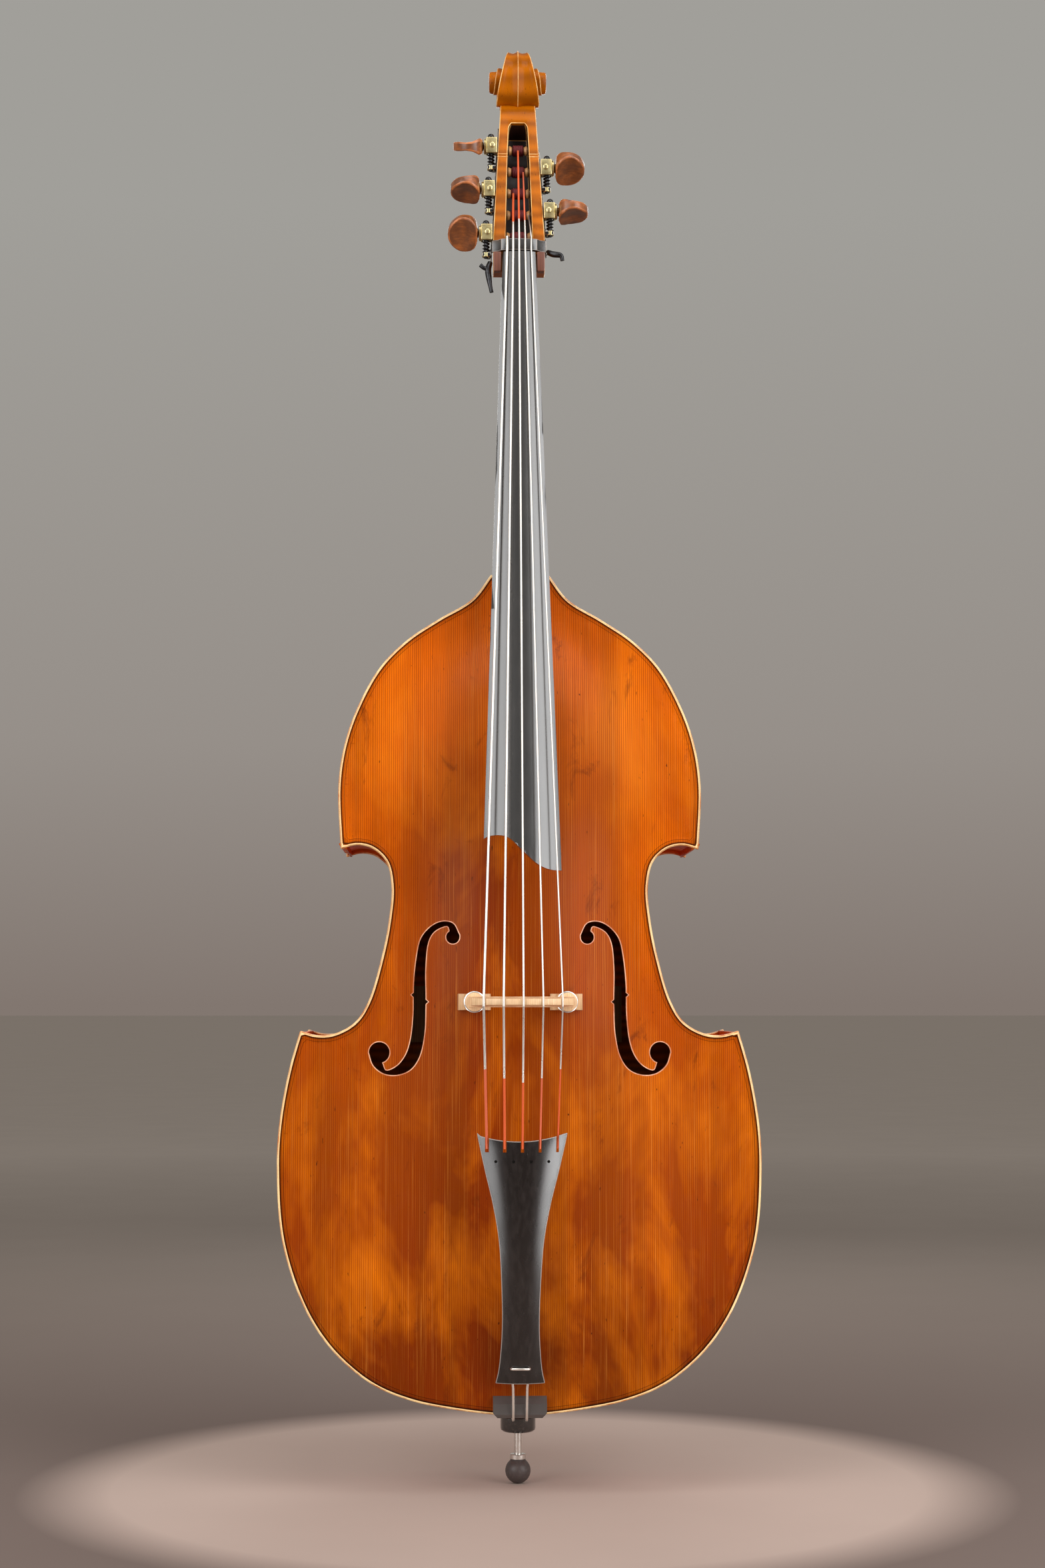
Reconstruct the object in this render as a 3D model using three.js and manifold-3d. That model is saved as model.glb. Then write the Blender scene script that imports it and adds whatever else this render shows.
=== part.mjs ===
// Five-string double bass with geared tuning machines.
// Millimetres, +Z up along the neck, the front faces -Y. The origin is on the endpin's axis,
// at the lowest edge of the body and half way through its depth.
import * as THREE from "three";
import { mergeVertices } from "three/addons/utils/BufferGeometryUtils.js";
import Module from "manifold-3d";

const wasm = await Module();
wasm.setup();

// Body
const BODY_HALF_DEPTH = 100; // to the outer edge of each plate
const RIB_HALF_DEPTH = 94;
const FIT_GAP = 0.3; // left between pieces that touch
const EDGE_OVERHANG = 6;
const RIB_THICKNESS = 2.5;
const ARCH_RISE = 30;
const TOP_THICKNESS = 7;
const ARCH_SPINE = [190, 1010]; // lowest and highest z of the arch's ridge
const UPPER_BOUT = [
  [40, 1137], [66, 1103], [112, 1075], [155, 1046], [192, 1008],
  [223, 951], [240, 900], [247.5, 845], [244, 759],
];
const WAIST = [
  [244, 759], [223, 764.5], [202, 760.5], [182, 742], [174.5, 708], [178, 662],
  [187, 615], [206, 551], [224, 524], [252, 509], [275, 507.5], [297, 513.5],
];
const LOWER_BOUT = [
  [297, 513.5], [312, 459], [324, 390], [327, 330], [319, 232], [290, 146],
  [257, 94], [220, 58], [186, 36], [140, 19], [90, 9], [40, 2.5], [0, 0],
];
const BUTTON_HALF_WIDTH = 24;
const BUTTON_TOP = 1160;

// Sound holes: the upper and lower eye, and the two edges of the stem between them
const UPPER_EYE = { x: 91, z: 639.5, r: 9 };
const LOWER_EYE = { x: 190, z: 484, r: 14 };
const STEM_OUTER = [
  [82, 642], [91, 658], [106, 660.5], [121, 653.5], [134, 638], [140, 612], [143.5, 576],
  [144, 535], [148, 499], [155, 479], [167, 465], [181, 460], [186, 471],
];
const STEM_INNER = [
  [204, 484], [198, 467], [184, 456], [166, 454], [148, 461], [136, 478], [129, 510],
  [127.5, 550], [128, 600], [124.5, 632], [118, 645], [108, 652], [98, 654], [95, 647],
];

// Strings: the plane of the strings runs from the bridge crown to the nut
const CROWN = { y: -290, z: 552, radius: 85 };
const NUT_TOP = { y: -60, z: 1622 };
const STRING_RADIUS = [1.8, 1.6, 1.4, 1.2, 1.1];
const STRING_X_AT_CROWN = [-51, -25.5, 0, 25.5, 51];
const STRING_X_AT_NUT = [-17, -8.5, 0, 8.5, 17];
const STRING_X_AT_SLOT = [-46, -23, 0, 23, 46];
const SADDLE_TOP = { y: -117, z: 12 };

// Fingerboard and neck
const BOARD_NUT_END = 1618;
const BOARD_TOP_AT_NUT = -58;
const BOARD_SLOPE = 0.2032;
const BOARD_HALF_WIDTH_AT_NUT = 22.6;
const BOARD_WIDENING = 0.0327; // half width gained per mm of length
const BOARD_END = [[-56, 764], [-40, 770], [-20, 768], [0, 750], [20, 732], [36, 725], [58, 724]];
const NECK_TOP = 1575.7;
const HEEL_BOTTOM = 1137.3;

// Head: its front plane leans back, and its cheeks taper upwards
const HEAD_BOTTOM = 1576;
const HEAD_FRONT = { y: -48, z: 1620, slope: 0.3 };
const CHEEK_HALF_WIDTH = 36.4;
const CHEEK_TAPER = 0.0531;
const CHEEK_TAPER_FROM = 1629;
const SCROLL = { y: 42, z: 1882, r: 48 };

// Tuning machines
const ROLLER_DEPTH = 22; // behind the head's front plane
const ROLLER_RADIUS = 5;
const RUNNING_GAP = 0.4;
const WHEEL_TEETH = 18;
const MODULE = 1.5;
const WHEEL_PITCH_RADIUS = (WHEEL_TEETH * MODULE) / 2;
const WORM_PITCH_RADIUS = 4.5;
const WORM_OFFSET = WHEEL_PITCH_RADIUS + WORM_PITCH_RADIUS;
const TOOTH_ADDENDUM = 1;
const TOOTH_DEDENDUM = 1.4;
const WHEEL_FACE = 5.5;
const MACHINE_OUT = 10.4; // from the cheek to the middle of the wheel
const LEAD = Math.PI * MODULE;
const THREAD_TOP = 0.75 * LEAD;
const THREAD_BOTTOM = -5.75 * LEAD;
const LUG_TOP = -29;
const LUG_BOTTOM = -34;
const PLATE_THICKNESS = 2;
const PLATE_SETBACK = 14; // behind the head's front plane
const MACHINES = [
  { name: "1", side: -1, z: 1775, turn: 109 },
  { name: "2", side: 1, z: 1740, turn: 57 },
  { name: "3", side: -1, z: 1705, turn: 73 },
  { name: "4", side: 1, z: 1670, turn: 81 },
  { name: "5", side: -1, z: 1635, turn: 41 },
];

// Bridge
const FOOT_X = 62;
const FOOT_HALF = 22;
const WHEEL_FRONT = -155;
const WHEEL_BACK = -150;
const WHEEL_TRAVEL = 3.5;

// Endpin
const ROD_RADIUS = 5;
const BALL = { r: 17.4, z: -88.4 };

const spruce = new THREE.MeshStandardMaterial({ color: 0xb8560f, roughness: 0.35 });
const maple = new THREE.MeshStandardMaterial({ color: 0x9c4a14, roughness: 0.35 });
const headMaple = new THREE.MeshStandardMaterial({ color: 0xa8641c, roughness: 0.3 });
const plainWood = new THREE.MeshStandardMaterial({ color: 0xd8b88a, roughness: 0.7 });
const ebony = new THREE.MeshStandardMaterial({ color: 0x26262a, roughness: 0.45 });
const keyWood = new THREE.MeshStandardMaterial({ color: 0x7a3412, roughness: 0.3 });
const brass = new THREE.MeshStandardMaterial({ color: 0xc9b27a, roughness: 0.35, metalness: 1 });
const blackSteel = new THREE.MeshStandardMaterial({ color: 0x1c1f1e, roughness: 0.4, metalness: 0.8 });
const aluminium = new THREE.MeshStandardMaterial({ color: 0xd0d0cc, roughness: 0.35, metalness: 1 });
const stringSteel = new THREE.MeshStandardMaterial({ color: 0xb9bcc0, roughness: 0.3, metalness: 1 });
const blackGloss = new THREE.MeshStandardMaterial({ color: 0x0c0c0d, roughness: 0.15 });
const rubber = new THREE.MeshStandardMaterial({ color: 0x3a3a3c, roughness: 0.6 });

const group = new THREE.Group();

function addPiece(name, geometry, material) {
  const piece = new THREE.Mesh(geometry, material);
  piece.name = name;
  group.add(piece);
  return piece;
}

// A closed triangle mesh, turned so that its faces point out.
function closedGeometry(vertices, triangles) {
  let volume = 0;
  const cross = new THREE.Vector3();
  for (const [a, b, c] of triangles) {
    volume += vertices[a].dot(cross.crossVectors(vertices[b], vertices[c]));
  }
  const geometry = new THREE.BufferGeometry().setFromPoints(vertices);
  geometry.setIndex(triangles.flatMap(([a, b, c]) => (volume < 0 ? [a, c, b] : [a, b, c])));
  return geometry;
}

// A skin through closed rings of equally many points; flat gives a cap's points on its plane.
function loft(rings, flat = (p) => new THREE.Vector2(p.x, p.y), endless = false) {
  const count = rings[0].length;
  const triangles = [];
  const steps = endless ? rings.length : rings.length - 1;
  for (let r = 0; r < steps; r += 1) {
    const near = r * count;
    const far = ((r + 1) % rings.length) * count;
    for (let i = 0; i < count; i += 1) {
      const next = (i + 1) % count;
      triangles.push([near + i, near + next, far + next], [near + i, far + next, far + i]);
    }
  }
  if (!endless) {
    const lastStart = (rings.length - 1) * count;
    for (const [a, b, c] of THREE.ShapeUtils.triangulateShape(rings[0].map(flat), [])) {
      triangles.push(turnsLeft(rings[0].map(flat)) ? [a, c, b] : [a, b, c]);
    }
    for (const [a, b, c] of THREE.ShapeUtils.triangulateShape(rings.at(-1).map(flat), [])) {
      const cap = [a + lastStart, b + lastStart, c + lastStart];
      triangles.push(turnsLeft(rings[0].map(flat)) ? cap : cap.reverse());
    }
  }
  return closedGeometry(rings.flat(), triangles);
}

function turnsLeft(points) {
  return !THREE.ShapeUtils.isClockWise(points);
}

function toSolid(geometry) {
  const bare = geometry.clone();
  bare.deleteAttribute("normal");
  bare.deleteAttribute("uv");
  const merged = mergeVertices(bare, 1e-4);
  return new wasm.Manifold(
    new wasm.Mesh({
      numProp: 3,
      vertProperties: new Float32Array(merged.attributes.position.array),
      triVerts: new Uint32Array(merged.index.array),
    }),
  );
}

function toGeometry(solid) {
  const made = solid.getMesh();
  const geometry = new THREE.BufferGeometry();
  geometry.setAttribute("position", new THREE.BufferAttribute(made.vertProperties.slice(), 3));
  geometry.setIndex(new THREE.BufferAttribute(made.triVerts.slice(), 1));
  return geometry;
}

const join = (...geometries) => toGeometry(geometries.map(toSolid).reduce((a, b) => a.add(b)));
const common = (...geometries) => toGeometry(geometries.map(toSolid).reduce((a, b) => a.intersect(b)));
const cut = (from, ...tools) => toGeometry(tools.reduce((a, b) => a.subtract(toSolid(b)), toSolid(from)));

function box(x, y, z) {
  const size = [x[1] - x[0], y[1] - y[0], z[1] - z[0]];
  const made = new THREE.BoxGeometry(...size);
  return made.translate((x[0] + x[1]) / 2, (y[0] + y[1]) / 2, (z[0] + z[1]) / 2);
}

// Cylinders and turned pieces along each axis
const barZ = (r, z0, z1, sides = 24) =>
  new THREE.CylinderGeometry(r, r, z1 - z0, sides).rotateX(Math.PI / 2).translate(0, 0, (z0 + z1) / 2);
const barX = (r, x0, x1, sides = 24) =>
  new THREE.CylinderGeometry(r, r, x1 - x0, sides).rotateZ(Math.PI / 2).translate((x0 + x1) / 2, 0, 0);
const barY = (r, y0, y1, sides = 24) =>
  new THREE.CylinderGeometry(r, r, y1 - y0, sides).translate(0, (y0 + y1) / 2, 0);

// A turned piece about the Y axis, from pairs of radius and height along it
function turned(profile, sides = 24) {
  const points = profile.map(([r, along]) => new THREE.Vector2(r, along));
  const made = new THREE.LatheGeometry(points, sides);
  const bare = made.deleteAttribute("normal").deleteAttribute("uv");
  const merged = mergeVertices(bare, 1e-4);
  const corners = Array.from({ length: merged.attributes.position.count }, (_, i) => {
    return new THREE.Vector3().fromBufferAttribute(merged.attributes.position, i);
  });
  const index = Array.from(merged.index.array);
  const triangles = [];
  for (let i = 0; i < index.length; i += 3) {
    const [a, b, c] = index.slice(i, i + 3);
    if (a !== b && b !== c && c !== a) triangles.push([a, b, c]);
  }
  return closedGeometry(corners, triangles);
}

// Outlines given as x and z, made solid between two depths
function prismAlongY(points, y0, y1) {
  const shape = new THREE.Shape(points.map((p) => new THREE.Vector2(p.x ?? p[0], p.y ?? p[1])));
  const made = new THREE.ExtrudeGeometry(shape, { depth: y1 - y0, bevelEnabled: false });
  return made.rotateX(Math.PI / 2).translate(0, y1, 0);
}

// Outlines given as y and z, made solid between two values of x
function prismAlongX(points, x0, x1) {
  const shape = new THREE.Shape(points.map((p) => new THREE.Vector2(p.x ?? p[0], p.y ?? p[1])));
  const made = new THREE.ExtrudeGeometry(shape, { depth: x1 - x0, bevelEnabled: false });
  return made.applyMatrix4(new THREE.Matrix4().set(0, 0, 1, x0, 1, 0, 0, 0, 0, 1, 0, 0, 0, 0, 0, 1));
}

// Outlines given as x and y, made solid between two heights
function prismAlongZ(points, z0, z1) {
  const shape = new THREE.Shape(points.map((p) => new THREE.Vector2(p.x ?? p[0], p.y ?? p[1])));
  return new THREE.ExtrudeGeometry(shape, { depth: z1 - z0, bevelEnabled: false }).translate(0, 0, z0);
}

function smooth(points, steps = 2, round = false) {
  const stops = points.map(([x, z]) => new THREE.Vector3(x, z, 0));
  const curve = new THREE.CatmullRomCurve3(stops, round, "centripetal");
  return curve.getPoints((points.length - 1) * steps).map((p) => new THREE.Vector2(p.x, p.y));
}

const mirrored = (points) => points.map((p) => new THREE.Vector2(-p.x, p.y)).reverse();

// A round wire through points, with mitred bends
function wire(points, radius, sides = 8, endless = false) {
  const stops = points.map((p) => new THREE.Vector3(...p));
  const total = stops.length;
  const direction = (i) => {
    const before = endless ? stops.at(i - 1) : stops[Math.max(i - 1, 0)];
    const after = endless ? stops[(i + 1) % total] : stops[Math.min(i + 1, total - 1)];
    const into = stops[i].clone().sub(before).normalize();
    const out = after.clone().sub(stops[i]).normalize();
    return into.add(out).normalize();
  };
  let side = new THREE.Vector3(1, 0, 0);
  if (Math.abs(direction(0).x) > 0.9) side = new THREE.Vector3(0, 1, 0);
  const rings = stops.map((stop, i) => {
    const along = direction(i);
    side = side.clone().addScaledVector(along, -side.dot(along)).normalize();
    const across = new THREE.Vector3().crossVectors(along, side);
    return Array.from({ length: sides }, (_, k) => {
      const angle = (2 * Math.PI * k) / sides;
      return stop.clone()
        .addScaledVector(side, radius * Math.cos(angle))
        .addScaledVector(across, radius * Math.sin(angle));
    });
  });
  const alongFirst = direction(0);
  const u = new THREE.Vector3(1, 0, 0).cross(alongFirst).length() > 0.3
    ? new THREE.Vector3(1, 0, 0) : new THREE.Vector3(0, 1, 0);
  const v = new THREE.Vector3().crossVectors(alongFirst, u);
  return loft(rings, (p) => new THREE.Vector2(p.dot(u), p.dot(v)), endless);
}

// ---- Body outline

const OUTLINE_STEPS = 1;
const rightLower = smooth(LOWER_BOUT, OUTLINE_STEPS).reverse();
const rightWaist = smooth(WAIST, OUTLINE_STEPS).reverse();
const rightUpper = smooth(UPPER_BOUT, OUTLINE_STEPS).reverse();
const rightSide = [...rightLower, ...rightWaist.slice(1), ...rightUpper.slice(1)];
const leftSide = mirrored(rightSide).slice(0, -1);
const outline = [...rightSide, ...leftSide];
const lowerTip = rightLower.length - 1;
const upperTip = lowerTip + rightWaist.length - 1;
const neckRight = rightSide.length - 1;
const cornerIndex = { lowerTip, upperTip, neckRight, total: outline.length };

function inset(loop, distance) {
  return loop.map((p, i) => {
    const into = p.clone().sub(loop.at(i - 1)).normalize();
    const out = loop[(i + 1) % loop.length].clone().sub(p).normalize();
    const normal = new THREE.Vector2(-into.y, into.x);
    const middle = new THREE.Vector2(-into.y - out.y, into.x + out.x).normalize();
    return p.clone().addScaledVector(middle, distance / Math.max(0.35, middle.dot(normal)));
  });
}

// ---- Plates

function archHeight(t) {
  const share = THREE.MathUtils.clamp((t - 0.03) / 0.92, 0, 1);
  return ARCH_RISE * Math.sin((Math.PI / 2) * share) ** 1.3;
}

// The outline drawn in towards the ridge by the share t, lifted by the arch
function archRing(t, lift) {
  return outline.map((p) => {
    const ridge = THREE.MathUtils.clamp(p.y, ...ARCH_SPINE);
    const y = -BODY_HALF_DEPTH - archHeight(t) + lift;
    return new THREE.Vector3(p.x * (1 - t), y, THREE.MathUtils.lerp(p.y, ridge, t));
  });
}

// The space under the arch, down to the plane where the plate meets the ribs, or further back
function archedSolid(shares, lift, back) {
  const rings = shares.map((t) => archRing(t, lift));
  const base = archRing(shares[0], 0);
  base.forEach((p) => { p.y = back; });
  return loft([...rings.reverse(), base], (p) => new THREE.Vector2(p.x, p.z));
}

const PLATE_BACK = -RIB_HALF_DEPTH - FIT_GAP;
const archOutside = () => archedSolid([0, 0.12, 0.3, 0.58, 0.93], 0, PLATE_BACK);
const archInside = (back) => archedSolid([0.14, 0.32, 0.58, 0.93], TOP_THICKNESS, back);

function soundHole() {
  const outer = smooth(STEM_OUTER);
  const inner = smooth(STEM_INNER);
  const stem = [...outer, new THREE.Vector2(LOWER_EYE.x, LOWER_EYE.z), ...inner];
  stem.push(new THREE.Vector2(UPPER_EYE.x, UPPER_EYE.z));
  const deep = [-150, -85];
  const eyes = [UPPER_EYE, LOWER_EYE].map((eye) => barY(eye.r, ...deep, 20).translate(eye.x, 0, eye.z));
  return join(prismAlongY(stem, ...deep), ...eyes);
}

function topPlate() {
  const saddleNotch = box([-36.3, 36.3], [-130, -90], [-10, 27.3]);
  const left = soundHole().scale(-1, 1, 1);
  left.setIndex(Array.from(left.index.array).reverse());
  return cut(archOutside(), archInside(PLATE_BACK + 1), soundHole(), left, saddleNotch);
}

function backPlate() {
  const plate = prismAlongY(outline, RIB_HALF_DEPTH + FIT_GAP, BODY_HALF_DEPTH);
  const button = [];
  for (let i = 0; i <= 12; i += 1) {
    const angle = (Math.PI * i) / 12;
    button.push([BUTTON_HALF_WIDTH * Math.cos(angle), 1136 + (BUTTON_TOP - 1136) * Math.sin(angle)]);
  }
  button.push([-BUTTON_HALF_WIDTH, 1120], [BUTTON_HALF_WIDTH, 1120]);
  return join(plate, prismAlongY(button, RIB_HALF_DEPTH + FIT_GAP, BODY_HALF_DEPTH));
}

// ---- Ribs, blocks and braces

function ribBetween(from, to, side) {
  const count = cornerIndex.total;
  const index = (i) => (side > 0 ? i : (count - i) % count);
  const trimmed = (loop) => {
    const run = [];
    for (let i = from; i <= to; i += 1) run.push(loop[index(i)].clone());
    const trim = (end, next) => end.addScaledVector(next.clone().sub(end).normalize(), FIT_GAP);
    trim(run[0], run[1]);
    trim(run.at(-1), run.at(-2));
    return run;
  };
  const outer = trimmed(inset(outline, EDGE_OVERHANG));
  const inner = trimmed(inset(outline, EDGE_OVERHANG + RIB_THICKNESS));
  const strip = [...outer, ...inner.reverse()];
  return prismAlongY(side > 0 ? strip : strip.reverse(), -RIB_HALF_DEPTH, RIB_HALF_DEPTH);
}

const insideRibs = (y0, y1) =>
  prismAlongY(inset(outline, EDGE_OVERHANG + RIB_THICKNESS + FIT_GAP), y0, y1);

function addBody() {
  addPiece("top_plate", topPlate(), spruce);
  addPiece("back_plate", backPlate(), maple);
  const plugHole = barZ(16.4, -20, 60, 20);
  for (const [side, letter] of [[-1, "L"], [1, "R"]]) {
    const lower = cut(ribBetween(0, cornerIndex.lowerTip, side), plugHole);
    addPiece(`rib_lower_${letter}`, lower, maple);
    addPiece(`rib_waist_${letter}`, ribBetween(cornerIndex.lowerTip, cornerIndex.upperTip, side), maple);
    addPiece(`rib_upper_${letter}`, ribBetween(cornerIndex.upperTip, cornerIndex.neckRight, side), maple);
    const lowerCorner = box([256, 330], [-92, 92], [462, 540]).scale(side, 1, 1);
    const upperCorner = box([208, 270], [-92, 92], [740, 796]).scale(side, 1, 1);
    for (const [name, corner] of [["corner_block_lower", lowerCorner], ["corner_block_upper", upperCorner]]) {
      if (side < 0) corner.setIndex(Array.from(corner.index.array).reverse());
      addPiece(`${name}_${letter}`, common(insideRibs(-92, 92), corner), plainWood);
    }
  }
  const tenonHole = box([-24.3, 24.3], [-100, 100], [1109.7, 1140]);
  const neckBlock = common(insideRibs(-92, 92), box([-60, 60], [-92, 92], [1060, 1128]));
  addPiece("neck_block", cut(neckBlock, tenonHole), plainWood);
  const endBlock = common(insideRibs(-92, 92), box([-70, 70], [-92, 92], [0, 48]));
  addPiece("end_block", cut(endBlock, plugHole), plainWood);

  const barSide = [[-130, 250], [-112, 250], [-94, 590], [-112, 940], [-130, 940]];
  const underTop = archInside(-60).translate(0, 3 * FIT_GAP, 0);
  const fitted = common(prismAlongX(barSide, -68, -48), underTop);
  const plates = [FIT_GAP, 3 * FIT_GAP].map((y) => topPlate().translate(0, y, 0));
  addPiece("bass_bar", cut(fitted, topPlate(), ...plates), plainWood);
  addPiece("back_brace", box([-150, 150], [84, RIB_HALF_DEPTH], [495, 575]), plainWood);
  const post = barY(9, -130, 84 - FIT_GAP, 16).translate(58, 0, 532);
  addPiece("soundpost", common(post, archInside(90).translate(0, FIT_GAP, 0)), plainWood);
}

// ---- Neck, fingerboard and nut

const boardTop = (z) => BOARD_TOP_AT_NUT - BOARD_SLOPE * (BOARD_NUT_END - z);
const boardBottom = (z) => boardTop(z) + 12 + (12 * (BOARD_NUT_END - z)) / 873;
const boardHalfWidth = (z) => BOARD_HALF_WIDTH_AT_NUT + BOARD_WIDENING * (BOARD_NUT_END - z);

function boardSection(z) {
  const half = boardHalfWidth(z);
  const radius = THREE.MathUtils.mapLinear(z, BOARD_NUT_END, 724, 56, 88);
  const section = [];
  for (let i = 0; i <= 12; i += 1) {
    const x = half * (1 - i / 6);
    const drop = radius - Math.sqrt(radius * radius - x * x);
    section.push(new THREE.Vector3(x, boardTop(z) + drop, z));
  }
  section.push(new THREE.Vector3(-half, boardBottom(z), z), new THREE.Vector3(half, boardBottom(z), z));
  return section;
}

function fingerboard() {
  const board = loft([boardSection(BOARD_NUT_END - 14), boardSection(700)]);
  const end = [...smooth(BOARD_END), new THREE.Vector2(70, 690), new THREE.Vector2(-70, 690)];
  return cut(board, prismAlongY(end, -300, -150));
}

// A half-round section behind the board: the heel is squarer and narrows towards the back.
function neckSection(z, back, roundness, taper) {
  const front = boardBottom(z) + FIT_GAP;
  const half = boardHalfWidth(z) - 0.8;
  const section = [];
  for (let i = 0; i <= 14; i += 1) {
    const angle = (Math.PI * i) / 14;
    const across = Math.sign(Math.cos(angle)) * Math.abs(Math.cos(angle)) ** (2 / roundness);
    const depth = Math.sin(angle) ** (2 / roundness);
    section.push(new THREE.Vector3(half * across * (1 - taper * depth), front + (back - front) * depth, z));
  }
  return section;
}

function neck() {
  const stations = [
    [HEEL_BOTTOM, 94, 7, 0.36], [1158, 94, 7, 0.38], [1162, 70, 6, 0.36], [1170, 15, 5, 0.3],
    [1182, -38, 4, 0.25], [1200, -72, 3, 0.15], [1228, -88, 2.4, 0.05], [1300, -77, 2.1, 0],
    [1440, -50, 2, 0], [1550, -29, 2, 0], [NECK_TOP, -24, 2.1, 0],
  ];
  const handle = loft(stations.map((s) => neckSection(...s)));
  return join(handle, box([-24, 24], [-90, 90], [1110, HEEL_BOTTOM + 2]));
}

function nut() {
  const front = [
    [-38, -42], [-38, -47], [-30, -51], [-25, -57], [-18, -58.6], [0, -60], [18, -58.6],
    [25, -57], [30, -51], [38, -47], [38, -42],
  ];
  return prismAlongZ(front, 1606, 1622.4);
}

function addNeck() {
  addPiece("neck", neck(), headMaple);
  addPiece("fingerboard", fingerboard(), ebony);
  addPiece("nut", nut(), ebony);
}

// ---- Head

const headFront = (z) => HEAD_FRONT.y + HEAD_FRONT.slope * (z - HEAD_FRONT.z);
const cheekHalfWidth = (z) => CHEEK_HALF_WIDTH - CHEEK_TAPER * (z - CHEEK_TAPER_FROM);
const rollerY = (z) => headFront(z) + ROLLER_DEPTH;

function head() {
  const underBoard = (z) => boardBottom(z) + FIT_GAP;
  const frontLow = [
    [underBoard(HEAD_BOTTOM), HEAD_BOTTOM], [underBoard(1605.7), 1605.7],
    [-41.7, 1605.7], [-41.7, 1623.3], [-47, 1623.3],
  ];
  const frontHigh = [[headFront(1832), 1832], [30, 1850]];
  const back = smooth([
    [80, 1850], [70, 1810], [54, 1760], [38, 1700], [24, 1650], [8, 1622], [-8, 1602], [-24, HEAD_BOTTOM],
  ], 1);
  const sideView = [...frontLow, ...frontHigh, ...back.map((p) => [p.x, p.y])];
  const low = cheekHalfWidth(HEAD_BOTTOM);
  const high = cheekHalfWidth(1850);
  const frontView = [
    [-36.5, HEAD_BOTTOM], [36.5, HEAD_BOTTOM], [36.5, 1629], [high, 1850], [-high, 1850], [-36.5, 1629],
  ];
  const outer = common(prismAlongX(sideView, -low - 2, low + 2), prismAlongY(frontView, -80, 120));

  const hollowSide = [
    [-80, 1624], [-20, 1625], [4, 1640], [28, 1715], [44, 1775], [48, 1800], [-40, 1830], [-80, 1820],
  ];
  const hollowFront = [[-19, 1624], [19, 1624], [15.5, 1760], [13.4, 1803]];
  for (let i = 1; i < 6; i += 1) {
    const angle = (Math.PI * i) / 6;
    hollowFront.push([13.4 * Math.cos(angle), 1803 + 13.4 * Math.sin(angle)]);
  }
  hollowFront.push([-13.4, 1803], [-15.5, 1760]);
  const hollow = common(prismAlongX(hollowSide, -20, 20), prismAlongY(hollowFront, -90, 90));

  const turns = [[SCROLL.r, 13], [36, 21], [26, 31], [15, 41]];
  const scroll = turns.map(([r, half]) => barX(r, -half, half, 20).translate(0, SCROLL.y, SCROLL.z));
  const blocks = [-36, 25].map((x) => box([x, x + 11], [-57, -45], [HEAD_BOTTOM, 1604]));
  const holes = MACHINES.map((m) => {
    return barX(ROLLER_RADIUS + RUNNING_GAP, -45, 45, 12).translate(0, rollerY(m.z), m.z);
  });
  return cut(join(outer, ...scroll, ...blocks), hollow, ...holes);
}

// ---- Tuning machines, each built on the right side and mirrored to its own

function mirrorToSide(geometry, side) {
  if (side > 0) return geometry;
  const made = geometry.scale(-1, 1, 1);
  made.setIndex(Array.from(made.index ? made.index.array : made.attributes.position.array.keys()).reverse());
  return made;
}

function machinePlate(side, low, high) {
  const edge = (z, depth) => [headFront(z) + depth, z];
  const outlineYZ = [
    edge(low, PLATE_SETBACK), edge(high, PLATE_SETBACK), edge(high + 6, 22), edge(high, 34), edge(low, 34),
  ];
  let plate = prismAlongX(outlineYZ, FIT_GAP, FIT_GAP + PLATE_THICKNESS);
  const lean = new THREE.Matrix4();
  lean.set(1, 0, -CHEEK_TAPER, cheekHalfWidth(0), 0, 1, 0, 0, 0, 0, 1, 0, 0, 0, 0, 1);
  plate.applyMatrix4(lean);
  for (const machine of MACHINES.filter((m) => m.side === side)) {
    const { z } = machine;
    const out = cheekHalfWidth(z) + MACHINE_OUT;
    const y = rollerY(z) - WORM_OFFSET;
    const lugBack = headFront(z + LUG_BOTTOM) + PLATE_SETBACK + 3;
    const lug = box([out - 7.6, out + 5], [y - 5, lugBack], [z + LUG_BOTTOM, z + LUG_TOP]);
    const journal = barZ(3 + RUNNING_GAP, z - 40, z - 26, 12).translate(out, y, 0);
    const rollerHole = barX(ROLLER_RADIUS + RUNNING_GAP, out - 14, out, 12).translate(0, rollerY(z), z);
    plate = cut(join(plate, lug), journal, rollerHole);
  }
  return plate;
}

function plateFinial(side) {
  const start = side < 0 ? 1590 : 1606;
  const x = cheekHalfWidth(start) + 4;
  const y = headFront(start) + PLATE_SETBACK + 4;
  const from = (dx, dy, dz) => [x + dx, y + dy, start + dz];
  if (side > 0) return wire([from(-1, 0, 4), from(7, -4, 0), from(18, -7, -3), from(20, -7, -10)], 3.2, 8);
  const tail = wire([from(-2, 0, 3), from(1, -4, -8), from(-1, -7, -26), from(-4, -8, -42)], 3, 8);
  const stub = wire([from(2, -4, -8), from(7, -5, -5), from(12, -5, -2)], 2.4, 8);
  return join(tail, stub);
}

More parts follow.
